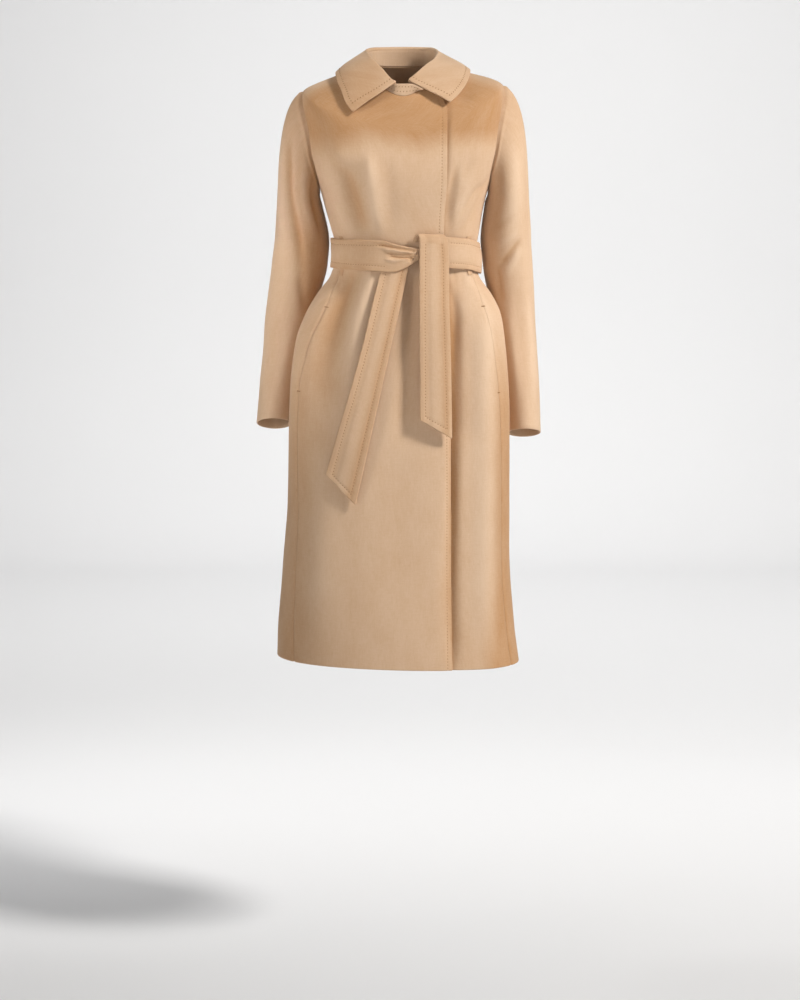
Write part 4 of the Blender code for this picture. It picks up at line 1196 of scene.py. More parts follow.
class StitchMaker:
    """Sews rows of stitches along paths that lie on the cloth."""

    INPUTS = (("Spacing", "NodeSocketFloat"), ("Length", "NodeSocketFloat"),
              ("Width", "NodeSocketFloat"), ("Height", "NodeSocketFloat"),
              ("Slant", "NodeSocketFloat"), ("Thread", "NodeSocketMaterial"))

    def __init__(self, thread: bpy.types.Material) -> None:
        """Build the node tree once for all rows."""
        self.thread = thread
        self.tree = self._tree()

    def _tree(self) -> bpy.types.NodeTree:
        """Lay out the nodes that put a rounded stitch at even steps along each path.

        Returns:
            The node tree.
        """
        tree = bpy.data.node_groups.new("stitch_rows", "GeometryNodeTree")
        face = tree.interface
        face.new_socket("Path", in_out="INPUT", socket_type="NodeSocketGeometry")
        for name, kind in self.INPUTS:
            face.new_socket(name, in_out="INPUT", socket_type=kind)
        face.new_socket("Stitches", in_out="OUTPUT", socket_type="NodeSocketGeometry")
        add, link = tree.nodes.new, tree.links.new
        given = add("NodeGroupInput").outputs
        curve = add("GeometryNodeMeshToCurve")
        link(given["Path"], curve.inputs["Mesh"])
        steps = add("GeometryNodeResampleCurve")
        steps.mode = "LENGTH"
        link(curve.outputs["Curve"], steps.inputs["Curve"])
        link(given["Spacing"], steps.inputs["Length"])
        facing = add("GeometryNodeInputNamedAttribute")
        facing.data_type = "FLOAT_VECTOR"
        facing.inputs["Name"].default_value = "facing"
        tangent = add("GeometryNodeInputTangent")
        turn = add("FunctionNodeAxesToRotation")
        turn.primary_axis, turn.secondary_axis = "Z", "X"
        link(facing.outputs["Attribute"], turn.inputs["Primary Axis"])
        link(tangent.outputs["Tangent"], turn.inputs["Secondary Axis"])
        slant = add("FunctionNodeAxisAngleToRotation")
        slant.inputs["Axis"].default_value = (0.0, 0.0, 1.0)
        link(given["Slant"], slant.inputs["Angle"])
        turned = add("FunctionNodeRotateRotation")
        turned.rotation_space = "LOCAL"
        link(turn.outputs["Rotation"], turned.inputs["Rotation"])
        link(slant.outputs["Rotation"], turned.inputs["Rotate By"])
        ball = add("GeometryNodeMeshUVSphere")
        ball.inputs["Segments"].default_value = 8
        ball.inputs["Rings"].default_value = 5
        ball.inputs["Radius"].default_value = 0.5
        size = add("ShaderNodeCombineXYZ")
        for axis, name in zip("XYZ", ("Length", "Width", "Height")):
            link(given[name], size.inputs[axis])
        shaped = add("GeometryNodeTransform")
        link(ball.outputs["Mesh"], shaped.inputs["Geometry"])
        link(size.outputs["Vector"], shaped.inputs["Scale"])
        placed = add("GeometryNodeInstanceOnPoints")
        link(steps.outputs["Curve"], placed.inputs["Points"])
        link(shaped.outputs["Geometry"], placed.inputs["Instance"])
        link(turned.outputs["Rotation"], placed.inputs["Rotation"])
        real = add("GeometryNodeRealizeInstances")
        link(placed.outputs["Instances"], real.inputs["Geometry"])
        dressed = add("GeometryNodeSetMaterial")
        link(real.outputs["Geometry"], dressed.inputs["Geometry"])
        link(given["Thread"], dressed.inputs["Material"])
        link(dressed.outputs["Geometry"], add("NodeGroupOutput").inputs["Stitches"])
        return tree

    def sew(self, name: str, rows: Sequence[tuple[Array, Array]], kind: StitchKind,
            spacing: float = STITCH_PITCH, sunk: float = 0.0002) -> bpy.types.Object:
        """Sew rows of stitches as one mesh.

        Args:
            name: the object's name.
            rows: each a path's points and the cloth's outward directions there.
            kind: which stitch.
            spacing: distance from stitch to stitch.
            sunk: how far the thread's middle lies under the cloth's face.

        Returns:
            The stitches as one plain mesh object.
        """
        points, facing, edges = [], [], []
        for path, outward in rows:
            first = sum(len(part) for part in points)
            points.append(path - outward * sunk)
            facing.append(outward)
            edges += [(first + i, first + i + 1) for i in range(len(path) - 1)]
        mesh = bpy.data.meshes.new(name + "_path")
        mesh.from_pydata(np.concatenate(points).tolist(), edges, [])
        layer = mesh.attributes.new("facing", "FLOAT_VECTOR", "POINT")
        layer.data.foreach_set("vector", np.concatenate(facing).astype(np.float32).ravel())
        holder = bpy.data.objects.new(name, mesh)
        bpy.context.collection.objects.link(holder)
        modifier = holder.modifiers.new("stitches", "NODES")
        modifier.node_group = self.tree
        length, width, height, slant = kind.value
        values = {"Spacing": spacing, "Length": length, "Width": width, "Height": height,
                  "Slant": math.radians(slant), "Thread": self.thread}
        for item in self.tree.interface.items_tree:
            if item.name in values:
                modifier[item.identifier] = values[item.name]
        graph = bpy.context.evaluated_depsgraph_get()
        made = bpy.data.meshes.new_from_object(holder.evaluated_get(graph))
        holder.modifiers.remove(modifier)
        holder.data = made
        bpy.data.meshes.remove(mesh)
        made.shade_smooth()
        return holder


# ---------------------------------------------------------------- shared workshop
@dataclass
class Workshop:
    """What every sub-assembly is made with."""

    form: CoatForm
    wool: bpy.types.Material
    belt_wool: bpy.types.Material
    stitches: StitchMaker
    made: list[str] = field(default_factory=list)

    def finish_cloth(self, piece: bpy.types.Object, shell: ClothShell, node: str,
                     held: str, rests_on: Sequence[str], slot: str,
                     with_pieces: Sequence[bpy.types.Object] = ()) -> None:
        """Args:
            piece: the object.
            shell: the shell it was made from; not used.
            node: the solid that it stands for.
            held: how the cloth is held; not used.
            rests_on: what it hangs from or lies on; not used.
            slot: belt_wool for the belt's wool, else the coat's.
            with_pieces: sewing that goes with it.
        """
        piece.data.materials.append(self.belt_wool if slot == "belt_wool" else self.wool)
        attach(piece, BODY)
        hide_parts(node)
        for sewn in with_pieces:
            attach(sewn, BODY)
        self.made.append(piece.name)


# ---------------------------------------------------------------- body panels
@dataclass
class BodyPanels:
    """Two overlapping fronts and a one-piece back."""

    shop: Workshop
    underlap_reach: float = 0.076
    underlap_share: float = 0.6
    lap_edge_deg: float = 4.0
    lap_fade_deg: float = 20.0
    seam_dip: float = 0.0013
    seam_reach: float = 0.0023
    pocket_dips: dict[str, float] = field(
        default_factory=lambda: {"right": 0.0018, "left": 0.0010})
    groove: float = 0.0007
    groove_half: float = 0.0012
    pressed: float = 0.0022
    pressed_skirt: float = 0.0022
    pressed_at: float = 0.0002
    pressed_half: float = 0.0042
    shade_reach: float = 0.012
    painted_fold_shade: float = 0.32
    painted_pressed_shade: float = 0.6
    fold_height: float = 0.005
    # The chest fields shape the upper chest's painted shade.
    chest_line: float = -0.150
    chest_dip: Swell = Swell(0.012, 0.02, 0.05)
    chest_soft: float = 0.050
    chest_painted_shade: float = 1.12
    chest_rim_shade: Swell = Swell(0.16, 0.012, 0.016)
    skirt_middle: Swell = Swell(-0.16, -0.01, 0.07)
    shade_start: float = 0.002
    pocket_levels: tuple[float, float] = (-0.572, -0.421)
    pocket_fade: float = 0.006
    tack_half: float = 0.0035
    tack_shift: float = 0.0015
    yoke_rows: int = 15
    armhole_rows: int = 41
    lower_rows: int = 132
    hem_bands: tuple[float, ...] = (0.009, 0.006, 0.0035, 0.0015, 0.0)
    bands: tuple[float, ...] = (0.0, 0.0007, 0.0016, 0.0028, 0.0044, 0.0062, STITCH_INSET,
                                0.0098, 0.0125)

    def levels(self) -> Array:
        """Choose the levels of the rows, close at the armhole's ends.

        Returns:
            Levels from the neck to the hem.
        """
        yoke = np.linspace(NECK_LEVEL, ARMHOLE_TOP, self.yoke_rows)[:-1]
        half_turn = np.linspace(0.0, math.pi, self.armhole_rows)
        armhole = ARMHOLE_MIDDLE + ARMHOLE_HALF * np.cos(half_turn)
        hem = HEM_LEVEL + np.array(self.hem_bands)
        lower = np.linspace(ARMHOLE_FOOT, hem[0], self.lower_rows)[1:]
        return np.concatenate((yoke, armhole, lower, hem[1:]))

    def border(self, level: Array, side: str, swing: float) -> Array:
        """Follow a panel's outer border: shoulder, armhole, then side seam.

        Args:
            level: levels.
            side: right or left side of the body.
            swing: how many degrees the armhole swings past the side line.

        Returns:
            Its angle at each level, without the side's sign.
        """
        share = (level - ARMHOLE_MIDDLE) / ARMHOLE_HALF
        armhole = 90.0 + swing * np.sqrt(np.maximum(0.0, 1.0 - share ** 2))
        seam = self.shop.form.seam.read(side, level)
        return np.where(level > ARMHOLE_TOP, 90.0,
                        np.where(level > ARMHOLE_FOOT, armhole, seam))

    def tone(self, points: Array) -> Array:
        """How deep the cloth looks: painted shade on the upper chest, which faces up, beside
        the front edge, on the skirt's sides and towards the hem, with a lighter skirt middle.

        Args:
            points: points of the cloth.

        Returns:
            From -1, light, to 1, deep.
        """
        x, z = points[..., X], points[..., Z]
        line = self.chest_line - self.chest_dip.at(x) - CHEST_DROP.at(points)
        chest = smooth_step((z - line) / (self.chest_soft + CHEST_SOFT.at(points)))
        beyond = x - self.shop.form.edge.read("reach", z)
        shade = smooth_step(beyond / self.shade_start) * bell(beyond, self.shade_reach)
        front = (chest * (self.chest_painted_shade + CHEST_LEFT.at(points))
                 + CHEST_RIM.at(points) * self.chest_rim_shade.at(z - line)
                 + LOW_SKIRT.at(points) * self.skirt_middle.at(x)
                 + PAINTED_EDGE_SHADE.at(points) * shade)
        return nap_and_shade_of(points, FRONT_HALF.at(points) * front, BODY_NAP_AND_SHADE)

    def pocket(self, level: Array) -> Array:
        """1 between a pocket's ends, else 0, with soft ends."""
        low, high = self.pocket_levels
        fade = self.pocket_fade
        return ramp(level, low, low + fade) * ramp(level, high, high - fade)

    def panel(self, name: str, first: Array, last: Array, across: int,
              first_side: Optional[str], last_side: Optional[str],
              off: Callable[[Array, Array], Array]
              ) -> tuple[ClothShell, bpy.types.Object, Array]:
        """One panel between two borders.

        Args:
            name: the object's name.
            first: angle of its first border at each level.
            last: angle of its last border at each level.
            across: columns between the bands along the borders.
            first_side: side of the body where the first border is sewn, or None.
            last_side: the same for the last border. None is a free edge.
            off: distance outward by angle and level.

        Returns:
            The shell, the object and the grid of angles.
        """
        form = self.shop.form
        level = self.levels()
        per_first = form.degrees_per_metre(first, level)
        per_last = form.degrees_per_metre(last, level)
        first = first + per_first * SEAM_GAP
        last = last - per_last * SEAM_GAP
        bands = np.array(self.bands)
        near_first = first[:, None] + per_first[:, None] * bands
        near_last = (last[:, None] - per_last[:, None] * bands)[:, ::-1]
        share = np.linspace(0.0, 1.0, across + 2)[1:-1]
        gap = near_last[:, :1] - near_first[:, -1:]
        deg = np.concatenate((near_first, near_first[:, -1:] + gap * share, near_last), axis=1)
        levels = np.broadcast_to(level[:, None], deg.shape)
        from_first = (deg - first[:, None]) / per_first[:, None]
        from_last = (last[:, None] - deg) / per_last[:, None]
        dip = np.zeros(deg.shape)
        opening = self.pocket(levels)
        for distance, side in ((from_first, first_side), (from_last, last_side)):
            if side is None:
                dip += self.groove * bell(distance - STITCH_INSET, self.groove_half)
            else:
                depth = self.seam_dip + (self.pocket_dips[side] - self.seam_dip) * opening
                dip += depth * bell(distance, self.seam_reach)
        outward = off(deg, levels)
        outer = form.point(deg, levels, outward - dip)
        inner = form.point(deg, levels, outward - WALL)
        rims = Rims(first_row=False, last_row=True, first_column=first_side is None,
                    last_column=last_side is None)
        relief = form.relief(deg, levels, form.section(deg, levels))
        # Painted shade in the folds' troughs, painted highlight on their crests.
        nap_and_shade = self.tone(outer) - self.painted_fold_shade * relief / self.fold_height
        # Painted shade where the edge presses the underlapping front in.
        sunk = np.maximum(0.0, -outward - WALL - LAP_GAP)
        nap_and_shade = nap_and_shade + self.painted_pressed_shade * sunk / self.pressed
        shell = ClothShell(outer, inner, rims, nap_and_shade)
        return shell, shell.build(name), deg

    def under_lap(self, deg: Array, level: Array) -> Array:
        """Lay the underlapping front one wall further in, up to the front edge.

        Args:
            deg: angles round the body.
            level: levels.

        Returns:
            Distance outward, deepest where the edge presses on it.
        """
        edge = self.shop.form.edge_angle(level[:, 0])[:, None]
        faded = smooth_step((deg - edge - self.lap_edge_deg) / self.lap_fade_deg)
        beyond = (deg - edge) / self.shop.form.degrees_per_metre(deg, level)
        deeper = ramp(level, -0.36, -0.39) * ramp(level, -0.80, -0.68)
        pressed = ((self.pressed + self.pressed_skirt * deeper)
                   * bell(beyond - self.pressed_at, self.pressed_half))
        return -(WALL + LAP_GAP) * (1.0 - faded) - pressed

    def build(self) -> None:
        """Make the three panels, the front edge's stitches and the pockets' tacks."""
        form, level = self.shop.form, self.levels()
        edge = form.edge_angle(level)
        reach = np.minimum(self.underlap_reach,
                           self.underlap_share * form.torso.read("half_width", level))

        def flat(deg: Array, _level: Array) -> Array:
            """A panel that lies on nothing keeps the coat's own surface."""
            return np.zeros(deg.shape)

        right = self.panel("coat_front_right",
                           -self.border(level, "right", -ARMHOLE_FRONT_DEG), edge, 88,
                           "right", None, flat)
        left = self.panel("coat_front_left", form.angle_at(-reach, level),
                          self.border(level, "left", -ARMHOLE_FRONT_DEG), 72,
                          None, "left", self.under_lap)
        back = self.panel("coat_back", self.border(level, "left", ARMHOLE_BACK_DEG),
                          360.0 - self.border(level, "right", ARMHOLE_BACK_DEG), 112,
                          "left", "right", flat)
        stitches = self.edge_stitches(right[0])
        tacks = self.tacks()
        finish = self.shop.finish_cloth
        finish(right[1], right[0], "front_right", "hung", ["back"], "coat_wool",
               [stitches, tacks])
        finish(left[1], left[0], "front_left", "hung", ["back"], "coat_wool")
        finish(back[1], back[0], "back", "hung", ["collar_stand"], "coat_wool")

    def edge_stitches(self, shell: ClothShell) -> bpy.types.Object:
        """Sew pick stitches down the overlapping front's edge.

        Args:
            shell: the overlapping front.

        Returns:
            The stitches.
        """
        column = shell.columns - 1 - self.bands.index(STITCH_INSET)
        rows = slice(12, shell.rows - 2)
        outward = -grid_normals(shell.outer)[rows, column]
        return self.shop.stitches.sew("front_edge_stitches",
                                      [(shell.outer[rows, column], outward)],
                                      StitchKind.PICK)

    def tacks(self) -> bpy.types.Object:
        """Sew a short bar of thread at both ends of each pocket.

        Returns:
            The tacks.
        """
        form = self.shop.form
        rows = []
        for side, sign in (("right", -1.0), ("left", 1.0)):
            for end in self.pocket_levels:
                bar = np.linspace(-self.tack_half, self.tack_half, 9)
                at = np.full(bar.shape, end)
                middle = sign * form.seam.read(side, at)
                reach = bar - sign * self.tack_shift
                deg = middle + reach * form.degrees_per_metre(middle, at)
                rows.append((form.point(deg, at, 0.0001), form.normal(deg, at)))
        return self.shop.stitches.sew("pocket_tacks", rows, StitchKind.TACK, 0.0009, -0.0002)


# ---------------------------------------------------------------- sleeves
@dataclass
class Sleeve:
    """Set-in sleeve: a cap that leaves the armhole, then sections down to the cuff."""

    shop: Workshop
    name: str
    node: str
    rows: tuple[tuple[float, ...], ...]
    sign: float
    creases: tuple[Crease, ...]
    # The inner arm gets painted shade; the resting tone paints the whole sleeve lighter.
    painted_inner_shade: float
    resting_nap_and_shading: float = -0.10
    columns: int = 64
    cap_rows: int = 30
    arm_rows: int = 78
    cap_crowding: float = 1.25
    cap_fade: float = 0.03
    ring_step: float = 0.01
    fullness: float = 0.70
    sideways: tuple[float, float] = (0.15, 0.95)
    down: tuple[float, float] = (1.00, 0.32)
    arrival: float = 0.9
    seam_gap: float = 0.0005
    tuck_gap: float = 0.0005
    seam_dip: float = 0.0010
    seam_reach: float = 0.0036
    seam_ridge: float = 0.0010
    ridge_at: float = 0.0080
    chart_scale: float = 1000.0
    painted_fold_shade: float = 0.55
    fold_height: float = 0.004

    def rim(self, turn: Array) -> tuple[Array, Array]:
        """Find the armhole's rim.

        Args:
            turn: degrees round the armhole: 0 its top, 90 its front, 180 its foot.

        Returns:
            Angles round the body and levels.
        """
        angle = np.radians(turn)
        swing = np.where(np.sin(angle) > 0.0, ARMHOLE_FRONT_DEG, ARMHOLE_BACK_DEG)
        return (self.sign * (90.0 - swing * np.sin(angle)),
                ARMHOLE_MIDDLE + ARMHOLE_HALF * np.cos(angle))

    def armhole(self, turn: Array) -> Array:
        """Points a seam's gap inside the armhole's rim.

        Args:
            turn: degrees round the armhole.

        Returns:
            The points.
        """
        form = self.shop.form
        rim = form.point(*self.rim(turn))
        hub = form.section(np.array(self.sign * 90.0), np.array(ARMHOLE_MIDDLE))
        inwards = hub - rim
        return rim + inwards / np.linalg.norm(inwards, axis=1, keepdims=True) * self.seam_gap

    def tuck(self, turn: Array) -> tuple[Array, Array]:
        """Row of the seam allowance, under the panels' edge.

        Args:
            turn: degrees round the armhole.

        Returns:
            Outer and inner points.
        """
        normal = self.shop.form.normal(*self.rim(turn))
        under = self.armhole(turn) - normal * (WALL + self.tuck_gap)
        return under, under - normal * SLEEVE_WALL

    def ring(self, table: Table, turn: Array, height: float) -> Array:
        """Section below the cap.

        Args:
            table: the sleeve's sections.
            turn: degrees round it, 0 at its outer side and 90 at its front.
            height: its height.

        Returns:
            The points.
        """
        angle = np.radians(turn)
        out, ahead = np.cos(angle), np.sin(angle)
        x = table.read("x", height) + self.sign * table.read("half_x", height) * out
        y = table.read("y", height) - table.read("half_y", height) * ahead
        z = height + table.read("rise", height) * ahead
        return np.stack((x, y, z), axis=-1)

    def build(self) -> None:
        """Make the sleeve."""
        table = Table(SLEEVE_SECTION, self.rows)
        top, foot = self.rows[0][0], self.rows[-1][0]
        turn = np.arange(self.columns) * 360.0 / self.columns
        start, end = self.armhole(turn), self.ring(table, turn, top)
        reach = np.linalg.norm(end - start, axis=1, keepdims=True)
        out_share = 0.5 * (1.0 + np.cos(np.radians(turn)))
        sideways = self.sideways[0] + (self.sideways[1] - self.sideways[0]) * out_share
        down = self.down[0] + (self.down[1] - self.down[0]) * out_share
        leave = np.stack((self.sign * sideways, np.zeros_like(down), -down), axis=-1)
        leave = leave * reach * self.fullness
        below = self.ring(table, turn, top - self.ring_step)
        arrive = (below - end) / self.ring_step * reach * self.arrival
        share = np.linspace(0.0, 1.0, self.cap_rows + 1)[:-1] ** self.cap_crowding
        rows = [hermite(start, end, leave, arrive, t) for t in share]
        rows += [self.ring(table, turn, float(height))
                 for height in np.linspace(top, foot, self.arm_rows + 1)]
        grid = np.array(rows)
        outward = self.sign * grid_normals(grid, True)
        relief = np.zeros(grid.shape[:2])
        turned = np.broadcast_to(turn / self.chart_scale, grid.shape[:2])
        for crease in self.creases:
            relief += crease.rise(turned, grid[..., 2])
        walked = np.cumsum(np.linalg.norm(np.diff(grid, axis=0), axis=2), axis=0)
        walked = np.concatenate((np.zeros((1, self.columns)), walked), axis=0)
        relief = relief * smooth_step(walked / self.cap_fade)
        dip = (self.seam_dip * bell(walked, self.seam_reach)
               - self.seam_ridge * bell(walked - self.ridge_at, self.seam_reach))
        outer = grid + outward * (relief - dip)[..., None]
        inner = grid + outward * (relief - SLEEVE_WALL)[..., None]
        # Painted shade in the creases' troughs, painted highlight on their crests.
        nap_and_shade = self.tone(outer) - self.painted_fold_shade * relief / self.fold_height
        tuck_outer, tuck_inner = self.tuck(turn)
        outer = np.concatenate((tuck_outer[None], outer))
        inner = np.concatenate((tuck_inner[None], inner))
        nap_and_shade = np.concatenate((nap_and_shade[:1], nap_and_shade))
        shell = ClothShell(outer, inner, Rims(last_row=True), nap_and_shade, closed=True)
        piece = shell.build(self.name)
        self.shop.finish_cloth(piece, shell, self.node, "hung", ["back"], "coat_wool")

    def tone(self, points: Array) -> Array:
        """How deep the cloth looks: painted light over the whole sleeve, painted shade on the
        arm's inner and hind side and on its cap.

        Args:
            points: points of the cloth.

        Returns:
            From -1, light, to 1, deep.
        """
        mirrored = points * (self.sign, 1.0, 1.0)
        resting = self.resting_nap_and_shading + self.painted_inner_shade * PAINTED_INNER_ARM_SHADE.at(mirrored)
        return nap_and_shade_of(mirrored, resting, SLEEVE_PAINTED_SHADE)


# ---------------------------------------------------------------- collar
@dataclass
class Collar:
    """Stand round the neck and the pointed collar that rolls over it."""

    shop: Workshop
    stand: Table = field(default_factory=lambda: Table(("turn", "x", "y", "z"), STAND_TOP))
    edge: Table = field(default_factory=lambda: Table(("share", "turn", "level", "lift"),
                                                      COLLAR_EDGE))
    full_turn: float = 172.0
    stand_start: float = -202.0
    stand_end: float = 184.0
    lap_start: float = 120.0
    lap_span: float = 25.0
    roll: tuple[tuple[float, float], ...] = ((-0.0030, 0.0014), (-0.0024, 0.0040),
                                             (0.0010, 0.0058), (0.0052, 0.0034))
    fall: tuple[tuple[float, float], ...] = ((0.36, 0.0060), (0.70, 0.0045))
    roll_rise: float = 1.12
    across: int = 150
    half_length: float = 0.25
    bands: tuple[float, ...] = (0.0, 0.0008, 0.0020, 0.0038, 0.0058, STITCH_INSET, 0.0104,
                                0.0140)
    groove: float = 0.00035
    curve_steps: tuple[int, ...] = (4, 4, 4, 10, 14, 14)
    roll_rows: int = 12
    fall_rows: int = 16
    resting_nap_and_shading: float = 0.26
    stand_rows: int = 9
    stand_foot: tuple[float, ...] = (0.15, 0.07, 0.0)
    stand_columns: int = 190
    sewn_lines: tuple[int, int] = (2, 6)
    sewn_span: tuple[int, int] = (2, 34)

    def top(self, turn: Array) -> Array:
        """Upper edge of the stand."""
        return np.stack([self.stand.read(axis, turn) for axis in ("x", "y", "z")], axis=-1)

    def slope(self, turn: Array) -> Array:
        """Run of the stand's upper edge over four degrees."""
        return self.top(turn + 2.0) - self.top(turn - 2.0)

    def outward(self, turn: Array) -> Array:
        """Level direction away from the neck, square to the stand's upper edge.

        Args:
            turn: degrees round the neck from the centre back.

        Returns:
            Unit vectors.
        """
        out = np.cross((0.0, 0.0, 1.0), self.slope(turn) * (1.0, 1.0, 0.0))
        return out / np.linalg.norm(out, axis=-1, keepdims=True)

    def lap(self, turn: Array) -> Array:
        """The wearer's left end of the stand lies inside the other one."""
        inside = (WALL + LAP_GAP) * smooth_step((turn - self.lap_start) / self.lap_span)
        return inside[..., None]

    def build_stand(self) -> None:
        """Make the stand and the rows of sewing across its front."""
        form = self.shop.form
        turn = np.linspace(self.stand_start, self.stand_end, self.stand_columns)
        foot = form.section(180.0 - turn, np.full(turn.shape, NECK_LEVEL))
        foot = foot + np.array((0.0, 0.0, 2.0 * SEAM_GAP))
        top, outward = self.top(turn), self.outward(turn)
        evenly = np.linspace(1.0, self.stand_foot[0], self.stand_rows)
        share = np.concatenate((evenly, self.stand_foot[1:]))[:, None, None]
        grid = foot + (top - foot) * share - outward * self.lap(turn)
        face = grid_normals(grid)
        shell = ClothShell(grid, grid - face * WALL, Rims(
            first_row=True, first_column=True, last_column=True), np.zeros(()))
        piece = shell.build("coat_collar_stand")
        span = slice(*self.sewn_span)
        rows = [(grid[line, span], face[line, span])
                for line in self.sewn_lines]
        sewn = self.shop.stitches.sew("stand_stitches", rows, StitchKind.FAINT)
        self.shop.finish_cloth(piece, shell, "collar_stand", "stretched", ["back"],
                               "coat_wool", [sewn])

    def build_collar(self) -> None:
        """Make the collar and the slanted stitches round its edge."""
        form = self.shop.form
        bands = np.array(self.bands)
        ends = bands / self.half_length
        middle = np.linspace(-1.0 + ends[-1], 1.0 - ends[-1], self.across)[1:-1]
        share = np.concatenate((-1.0 + ends, middle, (1.0 - ends)[::-1]))
        turn = self.full_turn * share
        top, outward = self.top(turn), self.outward(turn)
        slope = self.slope(turn)
        steep = np.linalg.norm(slope, axis=-1) / np.linalg.norm(slope[..., :2], axis=-1)
        up = np.stack((0.0 * steep, 0.0 * steep, self.roll_rise * steep), axis=-1)
        top = top - outward * self.lap(turn)
        deg, level = 180.0 - self.edge.read("turn", share), self.edge.read("level", share)
        end = form.point(deg, level, self.edge.read("lift", share) + COLLAR_WALL)
        normal = form.normal(deg, level)
        path = [top + outward * out + up * rise for out, rise in self.roll]
        path += [top + (end - top) * part + normal * swell for part, swell in self.fall]
        path.append(end)
        grid = self.through(np.array(path), bands)
        face = grid_normals(grid)
        edge_line = self.bands.index(STITCH_INSET)
        groove = np.zeros(grid.shape[:2])
        groove[-1 - edge_line] = self.groove
        groove[:, (edge_line, -1 - edge_line)] = self.groove
        outer = grid - face * groove[..., None]
        shell = ClothShell(outer, grid - face * COLLAR_WALL, Rims(True, True, True, True),
                           nap_and_shade_of(outer, self.resting_nap_and_shading, COLLAR_NAP_AND_HIGHLIGHT))
        piece = shell.build("coat_collar")
        sewn = self.shop.stitches.sew(
            "collar_stitches", [sewing_line(outer, face, self.roll_rows, edge_line)],
            StitchKind.SLANTED)
        self.shop.finish_cloth(piece, shell, "collar", "folded", ["collar_stand"],
                               "coat_wool", [sewn])

    def through(self, path: Array, bands: Array) -> Array:
        """Smooth curve through control points, with rows close at its outer end.

        Args:
            path: control points by columns by 3.
            bands: distances of the last rows from the outer end.

        Returns:
            Rows by columns by 3.
        """
        padded = np.concatenate((2.0 * path[:1] - path[1:2], path,
                                 2.0 * path[-1:] - path[-2:-1]))
        dense = []
        for i, count in enumerate(self.curve_steps):
            p0, p1, p2, p3 = padded[i:i + 4]
            for t in np.arange(count) / count:
                dense.append(0.5 * (2.0 * p1 + (p2 - p0) * t
                                    + (2.0 * p0 - 5.0 * p1 + 4.0 * p2 - p3) * t ** 2
                                    + (3.0 * p1 - p0 - 3.0 * p2 + p3) * t ** 3))
        line = np.array(dense + [path[-1]])
        steps = np.linalg.norm(np.diff(line, axis=0), axis=2)
        walked = np.concatenate((np.zeros((1, line.shape[1])), np.cumsum(steps, axis=0)))
        rolled = walked[:self.roll_rows + 1].mean(axis=1)
        rest = np.linspace(0.0, 1.0, self.fall_rows + 2)[1:-1]
        columns = []
        for c, total in enumerate(walked[-1]):
            fallen = rolled[-1] + (total - bands[-1] - rolled[-1]) * rest
            reach = np.concatenate((rolled, fallen, total - bands[::-1]))
            columns.append([np.interp(reach, walked[:, c], line[:, c, axis])
                            for axis in (X, Y, Z)])
        return np.array(columns).transpose(2, 0, 1)


# ---------------------------------------------------------------- belt
def rounded(value: Array, power: float) -> Array:
    """A power that keeps the sign: below 1 it fills a round section out to a box."""
    return np.sign(value) * np.abs(value) ** power


@dataclass
class Knot:
    """The belt's knot: wound cloth whose pleats run up and to the wearer's left."""

    shop: Workshop
    x: float = 0.0485
    z: float = -0.3225
    half_width: float = 0.0235
    half_height: float = 0.0220
    depth: float = 0.0125
    off: float = 0.0045
    rows: int = 46
    columns: int = 72
    end_angle: float = 0.02
    end_power: float = 0.6
    height_power: float = 0.85
    width_power: float = 0.75
    depth_power: float = 0.85
    windings: float = 2.6
    twist: float = 1.4
    mean_depth: float = 0.93
    pleat_depth: float = 0.13
    nap_and_shade: float = 0.35

    def grid(self) -> Array:
        """Lay out the knot's surface.

        Returns:
            Rows from its foot to its top, all round.
        """
        form = self.shop.form
        at = np.array(self.z)
        deg = form.angle_at(self.x, at)
        base, normal = form.point(deg, at), form.normal(deg, at)
        across = np.cross((0.0, 0.0, 1.0), normal)
        across = across / np.linalg.norm(across)
        up = np.cross(normal, across)
        middle = base + normal * (self.off + 0.5 * self.depth)
        tilt = np.linspace(self.end_angle, math.pi - self.end_angle, self.rows)
        lift = -np.cos(tilt)[:, None]
        angle = (2.0 * math.pi * np.arange(self.columns) / self.columns)[None, :]
        ring = np.sqrt(1.0 - lift ** 2) ** self.end_power
        height = rounded(lift, self.height_power) * self.half_height * np.ones_like(angle)
        wide = rounded(np.cos(angle), self.width_power) * ring * self.half_width
        wound = np.cos(self.windings * math.pi * lift + self.twist * np.cos(angle))
        depth = 0.5 * self.depth * (self.mean_depth + self.pleat_depth * wound * ring)
        deep = rounded(np.sin(angle), self.depth_power) * ring * depth
        return (middle + up * height[..., None] + across * wide[..., None]
                - normal * deep[..., None])

    def build(self) -> None:
        """Make the knot."""
        points = self.grid().reshape(-1, 3)
        columns, last = self.columns, (self.rows - 1) * self.columns
        faces = [(row + c, row + (c + 1) % columns,
                  row + columns + (c + 1) % columns, row + columns + c)
                 for row in range(0, last, columns) for c in range(columns)]
        faces += [tuple(range(columns)), tuple(range(last, last + columns))]
        piece = cloth_object("coat_belt_knot", points, faces, points[:, (X, Z)],
                             np.full(len(points), self.nap_and_shade))
        piece.data.materials.append(self.shop.belt_wool)
        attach(piece, BODY)
        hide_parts("belt_knot")
        self.shop.made.append(piece.name)
        LOG.info("%s: %d faces", piece.name, len(piece.data.polygons))


